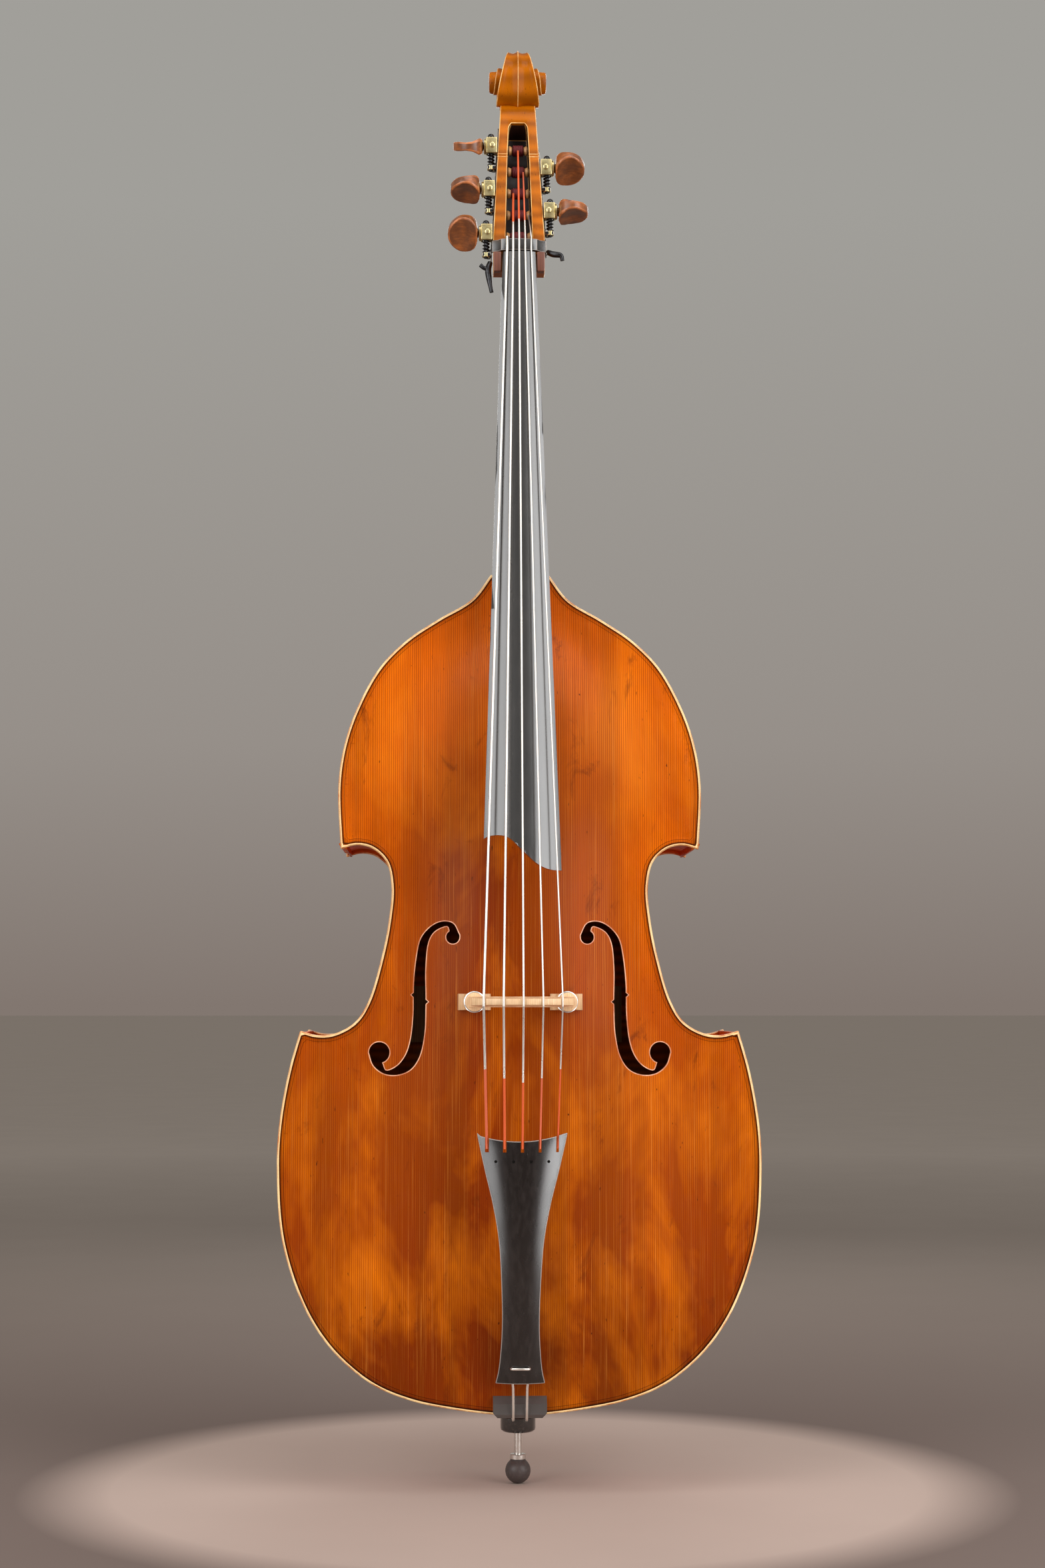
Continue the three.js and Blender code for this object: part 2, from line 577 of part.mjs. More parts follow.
// The tooth flanks follow the worm's lead across the wheel's face.
function wormWheel(out, y, z) {
  const pitch = (2 * Math.PI) / WHEEL_TEETH;
  const tip = WHEEL_PITCH_RADIUS + TOOTH_ADDENDUM;
  const root = WHEEL_PITCH_RADIUS - TOOTH_DEDENDUM;
  const slant = (LEAD * (WHEEL_FACE / 2)) / (2 * Math.PI * WORM_PITCH_RADIUS) / WHEEL_PITCH_RADIUS;
  const ring = (x, twist) => {
    const points = [];
    for (let i = 0; i < WHEEL_TEETH; i += 1) {
      for (const [r, share] of [[root, -0.27], [tip, -0.1], [tip, 0.1], [root, 0.27]]) {
        const angle = (i + share) * pitch + twist;
        points.push(new THREE.Vector3(x, y - r * Math.cos(angle), z + r * Math.sin(angle)));
      }
    }
    return points;
  };
  const half = WHEEL_FACE / 2;
  return loft([ring(out - half, slant), ring(out + half, -slant)], (p) => new THREE.Vector2(p.y, p.z));
}

function roller(machine) {
  const { z, side } = machine;
  const out = cheekHalfWidth(z) + MACHINE_OUT;
  const y = rollerY(z);
  const barrel = barX(ROLLER_RADIUS, -cheekHalfWidth(z) + 1.5, out + 4, 16).translate(0, y, z);
  return mirrorToSide(join(barrel, wormWheel(out, y, z)), side);
}

// A single-start worm: the crest winds round the core in steps.
function worm(machine) {
  const { z, side } = machine;
  const out = cheekHalfWidth(z) + MACHINE_OUT;
  const y = rollerY(z) - WORM_OFFSET;
  const core = WORM_PITCH_RADIUS - TOOTH_DEDENDUM;
  const crest = WORM_PITCH_RADIUS + TOOTH_ADDENDUM;
  const stepsPerTurn = 6;
  const steps = Math.round(((THREAD_TOP - THREAD_BOTTOM) / LEAD) * stepsPerTurn);
  const rings = [];
  for (let i = 0; i <= steps; i += 1) {
    const angle = (2 * Math.PI * i) / stepsPerTurn;
    const height = THREAD_BOTTOM + (LEAD * i) / stepsPerTurn;
    const at = (r, rise) => new THREE.Vector3(r * Math.cos(angle), r * Math.sin(angle), height + rise);
    const thin = i === 0 || i === steps ? core + 0.1 : crest;
    rings.push([at(core - 0.6, -1), at(thin, 0), at(core - 0.6, 1)]);
  }
  const thread = loft(rings, (p) => new THREE.Vector2(Math.hypot(p.x, p.y), p.z));
  const shaft = turned([
    [0, -36.4], [3, -36.4], [3, LUG_TOP + 0.4], [core, LUG_TOP + 0.4], [core, 5], [4.1, 5.9], [5.1, 7.8],
    [3, 7.8], [3, 12.2], [4.8, 12.2], [4.8, 15], [3.6, 17.6], [0, 18.8],
  ], stepsPerTurn * 2).rotateX(Math.PI / 2);
  return mirrorToSide(join(shaft, thread).translate(out, y, z), side);
}

function housing(machine) {
  const { z, side } = machine;
  const out = cheekHalfWidth(z) + MACHINE_OUT;
  const y = rollerY(z) - WORM_OFFSET;
  const place = (geometry) => geometry.translate(0, y, z);
  const block = place(box([out - 9, out + 7], [-9.5, 6], [-11.5, 11.5]));
  const drum = place(barX(11.5, out + 6, out + 10, 16));
  const screw = place(barY(4, -11.5, -8, 8).translate(out - 2, 0, 0));
  const rooms = [
    barZ(6.2, -13, 8.5, 12).translate(out, 0, 0),
    barZ(8, 5.4, 8.4, 12).translate(out, 0, 0),
    barZ(3 + RUNNING_GAP, 8, 13, 10).translate(out, 0, 0),
    barX(8, out + 5.4, out + 8.4, 12),
    barX(3 + RUNNING_GAP, out + 8, out + 12, 10),
    box([out - 4, out + 4], [1.5, 12], [-14, 14]),
  ];
  return mirrorToSide(cut(join(block, drum, screw), ...rooms.map(place)), side);
}

function key(machine) {
  const { z, side, turn } = machine;
  const out = cheekHalfWidth(z) + MACHINE_OUT;
  const y = rollerY(z) - WORM_OFFSET;
  const start = cheekHalfWidth(z) + 22.4;
  const faceHalf = smooth([[0, 8], [2.5, 17], [11, 24.5], [24, 25.5], [35, 18], [41, 8], [42, 0]], 1);
  const face = [...faceHalf, ...faceHalf.slice(0, -1).reverse().map((p) => new THREE.Vector2(p.x, -p.y))];
  const edgeHalf = smooth([[0, 11.5], [5, 11.5], [15, 7], [25, 5.8], [34, 7], [42, 6.6]], 1);
  const edge = [...edgeHalf, ...[...edgeHalf].reverse().map((p) => new THREE.Vector2(p.x, -p.y))];
  const wood = common(prismAlongY(face, -14, 14), prismAlongZ(edge, -30, 30)).translate(start, 0, 0);
  const shaft = turned([
    [0, out + 5.9], [5.6, out + 5.9], [7.2, out + 7.8], [3, out + 7.8], [3, out + 10.4], [6.5, out + 10.4],
    [6.5, start + 3], [0, start + 3],
  ], 12).rotateZ(-Math.PI / 2);
  const made = join(shaft, wood).rotateX(THREE.MathUtils.degToRad(turn)).translate(0, y, z);
  return mirrorToSide(made, side);
}

function addMachines() {
  addPiece("head", head(), headMaple);
  for (const [side, letter, low, high] of [[-1, "L", 1590, 1806], [1, "R", 1606, 1772]]) {
    const plate = mirrorToSide(join(machinePlate(side, low, high), plateFinial(side)), side);
    addPiece(`machine_plate_${letter}`, plate, blackSteel);
  }
  for (const machine of MACHINES) {
    addPiece(`key_${machine.name}`, key(machine), keyWood);
    addPiece(`gear_housing_${machine.name}`, housing(machine), brass);
    addPiece(`worm_${machine.name}`, worm(machine), blackSteel);
    addPiece(`roller_${machine.name}`, roller(machine), brass);
  }
}

// ---- Bridge with its height adjusters

function bridgeCrown() {
  const half = smooth([
    [73, -155.3], [71, -172], [68, -188], [58, -204], [57, -222], [66, -238], [66, -254], [58, -265.5],
  ], 1);
  const side = half.map((p) => [p.x, p.y]);
  const crest = [];
  for (let i = 1; i < 12; i += 1) {
    const x = 58 * (1 - i / 6);
    crest.push([x, CROWN.y + 1.6 + CROWN.radius - Math.sqrt(CROWN.radius ** 2 - x * x)]);
  }
  const inner = smooth([
    [-50, -155.3], [-46, -170], [-30, -184], [0, -190], [30, -184], [46, -170], [50, -155.3],
  ], 1);
  const mirror = side.map(([x, y]) => [-x, y]).reverse();
  const body = prismAlongZ([...side, ...crest, ...mirror, ...inner.map((p) => [p.x, p.y])], -7, 7);
  const heart = smooth([[0, -236], [10, -228], [9, -216], [0, -206], [-9, -216], [-10, -228], [0, -236]], 1);
  const kidney = smooth([
    [30, -236], [46, -230], [44, -216], [34, -206], [24, -214], [22, -228], [30, -236],
  ], 1);
  const holes = [heart, kidney, kidney.map((p) => new THREE.Vector2(-p.x, p.y))];
  const pierced = cut(body, ...holes.map((h) => prismAlongZ(h, -10, 10)));
  const posts = [-1, 1].map((s) => barY(3.4, -180, -150, 12).translate(s * FOOT_X, 0, 0));
  return cut(pierced, ...posts).translate(0, 0, CROWN.z);
}

function bridgeFoot(side) {
  const x = [FOOT_X - FOOT_HALF, FOOT_X + FOOT_HALF];
  const sole = box(x, [-139, -118], [-11, 11]);
  const leg = box([FOOT_X - 12, FOOT_X + 12], [WHEEL_BACK + WHEEL_TRAVEL, -138], [-10, 10]);
  const bore = barY(3.4, -160, -136, 12).translate(FOOT_X, 0, 0);
  const made = cut(join(sole, leg), bore).translate(0, 0, CROWN.z);
  return cut(mirrorToSide(made, side), archOutside().translate(0, -FIT_GAP, 0));
}

function adjuster(side) {
  const wheel = barY(14.4, WHEEL_FRONT, WHEEL_BACK, 24);
  const stud = barY(3, -176, -140, 12);
  return join(wheel, stud).translate(side * FOOT_X, 0, CROWN.z);
}

function addBridge() {
  addPiece("bridge_crown", bridgeCrown(), plainWood);
  for (const [side, letter] of [[-1, "L"], [1, "R"]]) {
    addPiece(`bridge_foot_${letter}`, bridgeFoot(side), plainWood);
    addPiece(`adjuster_${letter}`, adjuster(side), aluminium);
  }
}

// ---- Tailpiece, saddle and tail wire

const pullSlope = (SADDLE_TOP.y - CROWN.y) / (CROWN.z - SADDLE_TOP.z);
const pullLine = (z) => SADDLE_TOP.y - pullSlope * (z - SADDLE_TOP.z);
const TAIL_TOP = 380;
const TAIL_EDGE = [[33, 47], [29, 66], [25, 120], [26, 180], [30, 241], [38, 288], [48, 330], [59, 380]];
const HANGER = { x: 12, z: 68 };

function tailSection(z, half) {
  const section = [];
  const arch = half * 0.32;
  for (let i = 0; i <= 10; i += 1) {
    const x = half * (1 - i / 5);
    section.push(new THREE.Vector3(x, pullLine(z) - 5 + arch * (x / half) ** 2 - 2, z));
  }
  for (let i = 0; i <= 6; i += 1) {
    const x = -half * (1 - i / 3);
    section.push(new THREE.Vector3(x, pullLine(z) - 5 + arch * (x / half) ** 2 + 7, z));
  }
  return section;
}

function tailpiece() {
  const body = loft(TAIL_EDGE.map(([half, z]) => tailSection(z, half)));
  const topDip = barY(190, -300, -150, 60).translate(-5, 0, TAIL_TOP + 190 - 8.5);
  const slots = STRING_X_AT_SLOT.map((x, i) => {
    const half = STRING_RADIUS[i] + 0.7;
    return box([x - half, x + half], [-300, -150], [357, 400]);
  });
  const pins = [-34.5, -11.5, 11.5, 34.5].map((x) => barY(2, -300, -150, 8).translate(x, 0, 345));
  const hangerHoles = [-1, 1].map((s) => barY(2.4, -200, -100, 10).translate(s * HANGER.x, 0, HANGER.z));
  return cut(body, topDip, ...slots, ...pins, ...hangerHoles);
}

const wireOverSaddle = (s) => [
  [s * 9, -90, -4.2], [s * 9, -106, -4.2], [s * 9, -113.6, 0.6], [s * 9, -117.2, 13], [s * 9.4, -121, 40],
];

function saddle() {
  const front = [[-36, 27], [-36, 6], [-30, -1], [30, -1], [36, 6], [36, 27]];
  const side = [[-94.3, -2], [-94.3, 30], [-104, 27], [-116, 18], [-116, 4], [-108, -2]];
  const grooves = [-1, 1].map((s) => wire(wireOverSaddle(s), 2.15));
  const block = common(prismAlongY(front.reverse(), -120, -94.3), prismAlongX(side.reverse(), -40, 40));
  return cut(block, ...grooves);
}

function tailWire() {
  const r = 1.75;
  const front = pullLine(HANGER.z) - 7 - r - 0.8;
  const under = pullLine(60) + 6;
  const up = [
    ...wireOverSaddle(1), [HANGER.x, under, 62], [HANGER.x, under - 1, HANGER.z - 1.5],
    [HANGER.x, under - 3.5, HANGER.z], [HANGER.x, front + 1.5, HANGER.z], [HANGER.x - 1.5, front, HANGER.z],
  ];
  const loop = [];
  for (let i = 1; i < 8; i += 1) {
    const angle = Math.PI * (i / 8);
    loop.push([19.4 * Math.cos(angle), 19.4 * Math.sin(angle), -4]);
  }
  const left = up.map(([x, y, z]) => [-x, y, z]);
  return wire([[19.4, 0, -4], ...loop, [-19.4, 0, -4], ...left, ...up.reverse()], r, 8, true);
}

function addTail() {
  addPiece("tailpiece", tailpiece(), ebony);
  addPiece("saddle", saddle(), ebony);
  addPiece("tail_wire", tailWire(), stringSteel);
}

// ---- Endpin

function addEndpin() {
  const socket = turned([
    [0, 60], [14.6, 60], [16, 0.2], [17, 0], [17, -6.4], [22.5, -6.8], [24.3, -10], [24.3, -30],
    [21, -35], [0, -35],
  ], 20).rotateX(Math.PI / 2);
  const rodBore = barZ(ROD_RADIUS + RUNNING_GAP, -40, 70, 16);
  const screwBore = barY(3 + RUNNING_GAP, 0, 40, 12).translate(0, 0, -22);
  addPiece("endpin_socket", cut(socket, rodBore, screwBore), blackGloss);
  const rod = turned([
    [0, 250], [ROD_RADIUS, 249], [ROD_RADIUS, -66], [10.8, -66], [10.8, -73], [0, -73],
  ], 16).rotateX(Math.PI / 2);
  addPiece("endpin_rod", rod, aluminium);
  const ball = new THREE.SphereGeometry(BALL.r, 16, 10).rotateX(Math.PI / 2).translate(0, 0, BALL.z);
  addPiece("endpin_ball", cut(ball, box([-20, 20], [-20, 20], [-73.3, -60])), rubber);
  const screw = turned([
    [0, 5.8], [3, 5.8], [3, 26], [6, 26], [6, 29], [9, 30], [9, 37], [7, 38.5], [0, 38.5],
  ], 16).translate(0, 0, -22);
  addPiece("endpin_screw", screw, aluminium);
}

// ---- Strings

const crownDrop = (x) => CROWN.radius - Math.sqrt(CROWN.radius ** 2 - x * x);
const ROLLER_OF_STRING = ["5", "3", "1", "2", "4"];

function stringPath(i) {
  const r = STRING_RADIUS[i];
  const machine = MACHINES.find((m) => m.name === ROLLER_OF_STRING[i]);
  const crownX = STRING_X_AT_CROWN[i];
  const crownY = CROWN.y + 1.6 + crownDrop(crownX) - 1.2 * r - FIT_GAP;
  const nutX = STRING_X_AT_NUT[i];
  const nutY = NUT_TOP.y + 1.4 * (nutX / 17) ** 2 - 1.2 * r - 0.6;
  const wound = ROLLER_RADIUS + 3 + r;
  const slotX = STRING_X_AT_SLOT[i];
  const slotY = pullLine(362) - 6 + 0.32 * slotX * slotX / 54;
  return [
    [slotX, slotY, 362],
    [crownX, crownY, CROWN.z - 6], [crownX, crownY, CROWN.z + 6],
    [nutX, nutY, 1606], [nutX, nutY, 1623.6],
    [nutX * 0.85, rollerY(machine.z) - wound, machine.z - 3],
  ];
}

function addStrings() {
  STRING_RADIUS.forEach((r, i) => addPiece(`string_${i + 1}`, wire(stringPath(i), r, 8), stringSteel));
}

addBody();
addNeck();
addMachines();
addBridge();
addTail();
addEndpin();
addStrings();

export default group;
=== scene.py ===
import math

import bmesh
import bpy
import numpy as np
from mathutils import Matrix, Vector


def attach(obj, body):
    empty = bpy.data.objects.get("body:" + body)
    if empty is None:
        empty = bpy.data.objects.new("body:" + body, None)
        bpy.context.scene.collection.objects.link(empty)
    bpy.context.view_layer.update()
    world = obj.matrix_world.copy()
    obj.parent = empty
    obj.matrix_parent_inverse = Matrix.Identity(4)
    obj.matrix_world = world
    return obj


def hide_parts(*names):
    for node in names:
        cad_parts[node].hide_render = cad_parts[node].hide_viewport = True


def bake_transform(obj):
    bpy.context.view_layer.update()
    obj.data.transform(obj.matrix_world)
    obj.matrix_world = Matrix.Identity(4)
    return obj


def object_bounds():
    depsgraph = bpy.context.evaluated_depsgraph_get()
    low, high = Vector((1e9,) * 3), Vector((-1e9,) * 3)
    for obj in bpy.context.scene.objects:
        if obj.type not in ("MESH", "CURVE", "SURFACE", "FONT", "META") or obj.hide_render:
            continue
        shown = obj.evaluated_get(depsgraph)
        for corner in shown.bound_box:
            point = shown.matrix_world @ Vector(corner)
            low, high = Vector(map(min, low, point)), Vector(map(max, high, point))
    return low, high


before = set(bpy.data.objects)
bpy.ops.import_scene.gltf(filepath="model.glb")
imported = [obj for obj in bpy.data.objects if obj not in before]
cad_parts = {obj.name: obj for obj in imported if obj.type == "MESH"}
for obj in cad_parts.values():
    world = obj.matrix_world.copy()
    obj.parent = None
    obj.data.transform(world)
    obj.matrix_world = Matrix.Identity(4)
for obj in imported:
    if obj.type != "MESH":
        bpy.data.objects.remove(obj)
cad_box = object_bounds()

# A five-string double bass. Shapes are drawn in millimetres, and mesh_of() turns them into metres.
# Z runs up the neck, the front faces -Y, and the origin is at the lowest edge of the body.
MM = 0.001
ORIGIN, X, Y, Z = Vector((0, 0, 0)), Vector((1, 0, 0)), Vector((0, 1, 0)), Vector((0, 0, 1))
scene = bpy.context.scene

# ---- The body's outline, right half, and its sound holes

UPPER_BOUT = [
    (40, 1137), (66, 1103), (112, 1075), (155, 1046), (192, 1008),
    (223, 951), (240, 900), (247.5, 845), (244, 759),
]
WAIST = [
    (244, 759), (223, 764.5), (202, 760.5), (182, 742), (174.5, 708), (178, 662),
    (187, 615), (206, 551), (224, 524), (252, 509), (275, 507.5), (297, 513.5),
]
LOWER_BOUT = [
    (297, 513.5), (312, 459), (324, 390), (327, 330), (319, 232), (290, 146),
    (257, 94), (220, 58), (186, 36), (140, 19), (90, 9), (40, 2.5), (0, 0),
]
UPPER_EYE = (91, 639.5, 9)
LOWER_EYE = (190, 484, 14)
STEM_OUTER = [
    (82, 642), (91, 658), (106, 660.5), (121, 653.5), (134, 638), (140, 612), (143.5, 576),
    (144, 535), (148, 499), (155, 479), (167, 465), (181, 460),
]
STEM_INNER = [
    (204, 484), (198, 467), (184, 456), (166, 454), (148, 461), (136, 478), (129, 510),
    (127.5, 550), (128, 600), (124.5, 632), (118, 645), (108, 652), (98, 654), (95, 647),
]
NOTCH_OUTER = 561.6
NOTCH_INNER = 552.2
HOLE_BAND = 1.3  # the rubbed band round a sound hole
BODY_TOP = 1137
BUTTON_TOP, BUTTON_RADIUS = 1160, 24
PLATE_Y, RIB_Y = 100, 93.7
TOP_THICK, BACK_THICK, RIB_THICK = 6, 5.7, 2.5
OVERHANG = 6
ARCH_RISE = 30
ARCH_START = 12  # how far inside the edge the arch starts
ARCH_SPREAD = 16  # how softly it follows the outline's corners
SPINE_LOW, SPINE_HIGH = 200, 980  # it is highest along the middle, between these
CHANNEL_AT, CHANNEL_WIDTH, CHANNEL_DEPTH = 11, 4, 1.3  # a hollow runs round inside the edge
PLATE_CELL = 8

# ---- Neck, strings and head

BOARD_NUT_END = 1618
BOARD_TOP_AT_NUT = -58
BOARD_SLOPE = 0.2032
BOARD_NUT_HALF, BOARD_WIDENING = 22.6, 0.0327
BOARD_THICK, BOARD_THICKENING = 12, 873  # this far down from the nut it is twice as thick
BOARD_LOW_END, BOARD_SEAT = 724, 14
NUT_LOW, NUT_HIGH = 1606, 1622.4
HEAD_LOW = 1576
HEAD_FRONT_Y, HEAD_FRONT_Z, HEAD_LEAN = -48, 1620, 0.3
CHEEK_HALF, CHEEK_START, CHEEK_TAPER = 36.4, 1629, 0.0531
BOARD_END = [(-56, 764), (-40, 770), (-20, 768), (0, 750), (20, 732), (36, 725), (58, 724)]
CROWN_Y, CROWN_Z, CROWN_RADIUS = -290, 552, 85
GROOVE = 1.6  # the strings sit this deep behind the crown's front
NUT_Y = -60
STRING_RADIUS = [1.8, 1.6, 1.4, 1.2, 1.1]
STRING_X_AT_CROWN = [-51, -25.5, 0, 25.5, 51]
STRING_X_AT_NUT = [-17, -8.5, 0, 8.5, 17]
STRING_X_AT_SLOT = [-46, -23, 0, 23, 46]
SADDLE_Y, SADDLE_Z = -117, 12
ROLLER_OF_STRING = [5, 3, 1, 2, 4]
MACHINES = {
    1: (-1, 1775, 109), 2: (1, 1740, 57), 3: (-1, 1705, 73), 4: (1, 1670, 81), 5: (-1, 1635, 41),
}  # side, height and how far the key is turned
MACHINE_OUT = 10.4  # from the cheek to the worm's axis
ROLLER_BACK = 22  # from the head's front to the roller's axis
WORM_AHEAD = 18  # from the roller's axis forward to the worm's
TEETH = 18
LEAD = 1.5 * math.pi
SCROLL_Y, SCROLL_Z = 40, 1882
FOOT_X = 62
HANGER_X, HANGER_Z = 12, 68


def board_top(z):
    return BOARD_TOP_AT_NUT - BOARD_SLOPE * (BOARD_NUT_END - z)


def board_bottom(z):
    return board_top(z) + BOARD_THICK + BOARD_THICK * (BOARD_NUT_END - z) / BOARD_THICKENING


def board_half(z):
    return BOARD_NUT_HALF + BOARD_WIDENING * (BOARD_NUT_END - z)


def head_front(z):
    return HEAD_FRONT_Y + HEAD_LEAN * (z - HEAD_FRONT_Z)


def cheek_half(z):
    return CHEEK_HALF - CHEEK_TAPER * (z - CHEEK_START)


def crown_front(x):
    """The bottom of the strings' grooves across the bridge's arched crown."""
    return CROWN_Y + GROOVE + CROWN_RADIUS - math.sqrt(CROWN_RADIUS ** 2 - x * x)


def pull_line(z):
    """The tail wire and the tailpiece lie along this line, from the saddle to the bridge."""
    return SADDLE_Y - (SADDLE_Y - CROWN_Y) / (CROWN_Z - SADDLE_Z) * (z - SADDLE_Z)


# ---- Drawing helpers

def smooth_line(stops, steps=6):
    """Points on a curve that passes through every stop, rounding the turns between them."""
    stops = [Vector(s) for s in stops]
    stops = [2 * stops[0] - stops[1], *stops, 2 * stops[-1] - stops[-2]]
    line = []
    for a, b, c, d in zip(stops, stops[1:], stops[2:], stops[3:]):
        t1 = (b - a).length ** 0.5
        t2 = t1 + (c - b).length ** 0.5
        t3 = t2 + (d - c).length ** 0.5
        for k in range(steps):
            t = t1 + (t2 - t1) * k / steps
            ab = a * (1 - t / t1) + b * (t / t1)
            bc = b * ((t2 - t) / (t2 - t1)) + c * ((t - t1) / (t2 - t1))
            cd = c * ((t3 - t) / (t3 - t2)) + d * ((t - t2) / (t3 - t2))
            abc = ab * (1 - t / t2) + bc * (t / t2)
            bcd = bc * ((t3 - t) / (t3 - t1)) + cd * ((t - t1) / (t3 - t1))
            line.append(abc * ((t2 - t) / (t2 - t1)) + bcd * ((t - t1) / (t2 - t1)))
    return line + [stops[-2]]


def arc(x, z, r, start, end, steps):
    """Points on part of a circle, from one angle to another, in degrees."""
    turn = [math.radians(start + (end - start) * i / steps) for i in range(steps + 1)]
    return [Vector((x + r * math.cos(a), z + r * math.sin(a))) for a in turn]


def ease(value, low, high):
    """0 below low, 1 above high, and a soft step between them."""
    share = min(max((value - low) / (high - low), 0), 1)
    return share * share * (3 - 2 * share)


def draw(bm, points, closed=True):
    """A line of edges through the points."""
    verts = [bm.verts.new(p) for p in points]
    ends = verts[1:] + verts[:1] if closed else verts[1:]
    return verts, [bm.edges.new(pair) for pair in zip(verts, ends)]


def loft(bm, rings, capped=True):
    """Grows a skin from the first ring through all the others. Points pair up in order."""
    verts, edges = draw(bm, rings[0])
    first = edges
    for ring in rings[1:]:
        grown = bmesh.ops.extrude_edge_only(bm, edges=edges)["geom"]
        fresh = {v.co.copy().freeze(): v for v in grown if isinstance(v, bmesh.types.BMVert)}
        moved = [fresh[v.co.copy().freeze()] for v in verts]
        new = set(moved)
        edges = [e for e in grown if isinstance(e, bmesh.types.BMEdge) and set(e.verts) <= new]
        for v, point in zip(moved, ring):
            v.co = point
        verts = moved
    if capped:
        for loop in (first, edges):
            bmesh.ops.contextual_create(bm, geom=loop)
    return bm


def lathe(bm, profile, centre, axis, across, steps=48):
    """Turns a profile of (radius, height) pairs about an axis."""
    axis, across, centre = Vector(axis), Vector(across), Vector(centre)
    verts, edges = draw(bm, [centre + across * r + axis * h for r, h in profile], closed=False)
    bmesh.ops.spin(
        bm, geom=verts + edges, cent=centre, axis=axis, angle=math.tau, steps=steps, use_merge=True,
    )
    bmesh.ops.remove_doubles(bm, verts=bm.verts, dist=0.0001)
    return bm


def slab(bm, outline, low, high, place):
    """A flat outline pulled out from low to high; place turns (u, v, height) into a point."""
    verts, edges = draw(bm, [place(u, v, low) for u, v in outline])
    face = bmesh.ops.contextual_create(bm, geom=edges)["faces"]
    pulled = bmesh.ops.extrude_face_region(bm, geom=face, use_keep_orig=True)["geom"]
    step = place(0, 0, high) - place(0, 0, low)
    bmesh.ops.translate(bm, vec=step, verts=[v for v in pulled if isinstance(v, bmesh.types.BMVert)])
    return bm


def along_x(u, v, height):
    return Vector((height, u, v))


def along_y(u, v, height):
    return Vector((u, height, v))


def along_z(u, v, height):
    return Vector((u, v, height))


def cut_across(bm, axis, places, near=0.01):
    """Adds a row of edges across the shape at each place along an axis."""
    for at in places:
        every = bm.verts[:] + bm.edges[:] + bm.faces[:]
        bmesh.ops.bisect_plane(bm, geom=every, dist=near, plane_co=axis * at, plane_no=axis)


def gather(bm, part):
    """Adds a second shape to the first."""
    mesh = bpy.data.meshes.new("part")
    part.to_mesh(mesh)
    part.free()
    bm.from_mesh(mesh)
    bpy.data.meshes.remove(mesh)


def soften(bm, width, segments, above, material=-1, only=None):
    """Rounds every edge sharper than an angle, or only those that a test picks."""
    edges = [
        e for e in bm.edges
        if len(e.link_faces) == 2 and e.calc_face_angle(0) > math.radians(above)
        and (only is None or only(e))
    ]
    bmesh.ops.bevel(
        bm, geom=edges, offset=width, offset_type="OFFSET", affect="EDGES", segments=segments,
        profile=0.5, material=material, clamp_overlap=True,
    )
    return bm


def mesh_of(bm, name, crease=40):
    """The finished mesh: normals out, edges sharper than the crease left sharp, in metres."""
    bmesh.ops.recalc_face_normals(bm, faces=bm.faces)
    limit = math.radians(crease)
    for e in bm.edges:
        e.smooth = len(e.link_faces) == 2 and e.calc_face_angle(0) < limit
    for f in bm.faces:
        f.smooth = True
    bmesh.ops.scale(bm, vec=(MM, MM, MM), verts=bm.verts)
    mesh = bpy.data.meshes.new(name)
    bm.to_mesh(mesh)
    bm.free()
    return mesh


def hand(side):
    return "R" if side > 0 else "L"


def piece(mesh, finishes, body, stands_for=()):
    """One piece of the instrument, named as its mesh is, riding on a body."""
    obj = bpy.data.objects.new(mesh.name, mesh)
    scene.collection.objects.link(obj)
    for finish in finishes:
        mesh.materials.append(finish)
    if body:
        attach(obj, body)
    if stands_for:
        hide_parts(*stands_for)
    return obj


def carve(mesh, cutters, name):
    """Cuts the cutters' meshes out of a mesh, and gives the result back as a bmesh in millimetres."""
    block = bpy.data.objects.new(name + "_block", mesh)
    scene.collection.objects.link(block)
    tools = []
    for cutter in cutters:
        tool = bpy.data.objects.new(name + "_tool", cutter)
        scene.collection.objects.link(tool)
        cut = block.modifiers.new("cut", "BOOLEAN")
        cut.operation = "DIFFERENCE"
        cut.solver = "EXACT"
        cut.object = tool
        tools.append(tool)
    shaped = block.evaluated_get(bpy.context.evaluated_depsgraph_get())
    bm = bmesh.new()
    bm.from_mesh(shaped.to_mesh())
    shaped.to_mesh_clear()
    for obj in [block, *tools]:
        bpy.data.objects.remove(obj)
    bmesh.ops.scale(bm, vec=(1 / MM,) * 3, verts=bm.verts)
    return bm


def wire_mesh(name, points, radius, sides=12, closed=False, taper=None):
    """A round wire along the points, in millimetres."""
    bm = bmesh.new()
    line = [Vector(p) for p in points]
    count = len(line)
    rings = []
    side = None
    for i, here in enumerate(line):
        before = line[i - 1] if closed or i else here
        after = line[(i + 1) % count] if closed or i < count - 1 else here
        ahead = (after - before).normalized()
        if side is None:
            side = ahead.orthogonal().normalized()
        side = (side - ahead * side.dot(ahead)).normalized()
        up = ahead.cross(side)
        r = radius if taper is None else radius * taper[i]
        turn = [math.tau * k / sides for k in range(sides)]
        rings.append([here + (side * math.cos(a) + up * math.sin(a)) * r for a in turn])
    loft(bm, rings, capped=not closed)
    if closed:
        edges = [e for e in bm.edges if len(e.link_faces) == 1]
        bmesh.ops.bridge_loops(bm, edges=edges)
    return mesh_of(bm, name, crease=50)


# ---- Finishes

def paint(red, green, blue):
    """A colour as seen on a screen, 0 to 255, made linear."""
    linear = [((c / 255 + 0.055) / 1.055) ** 2.4 if c > 10 else c / 3295 for c in (red, green, blue)]
    return (*linear, 1)


def grey(value):
    return (value, value, value, 1)


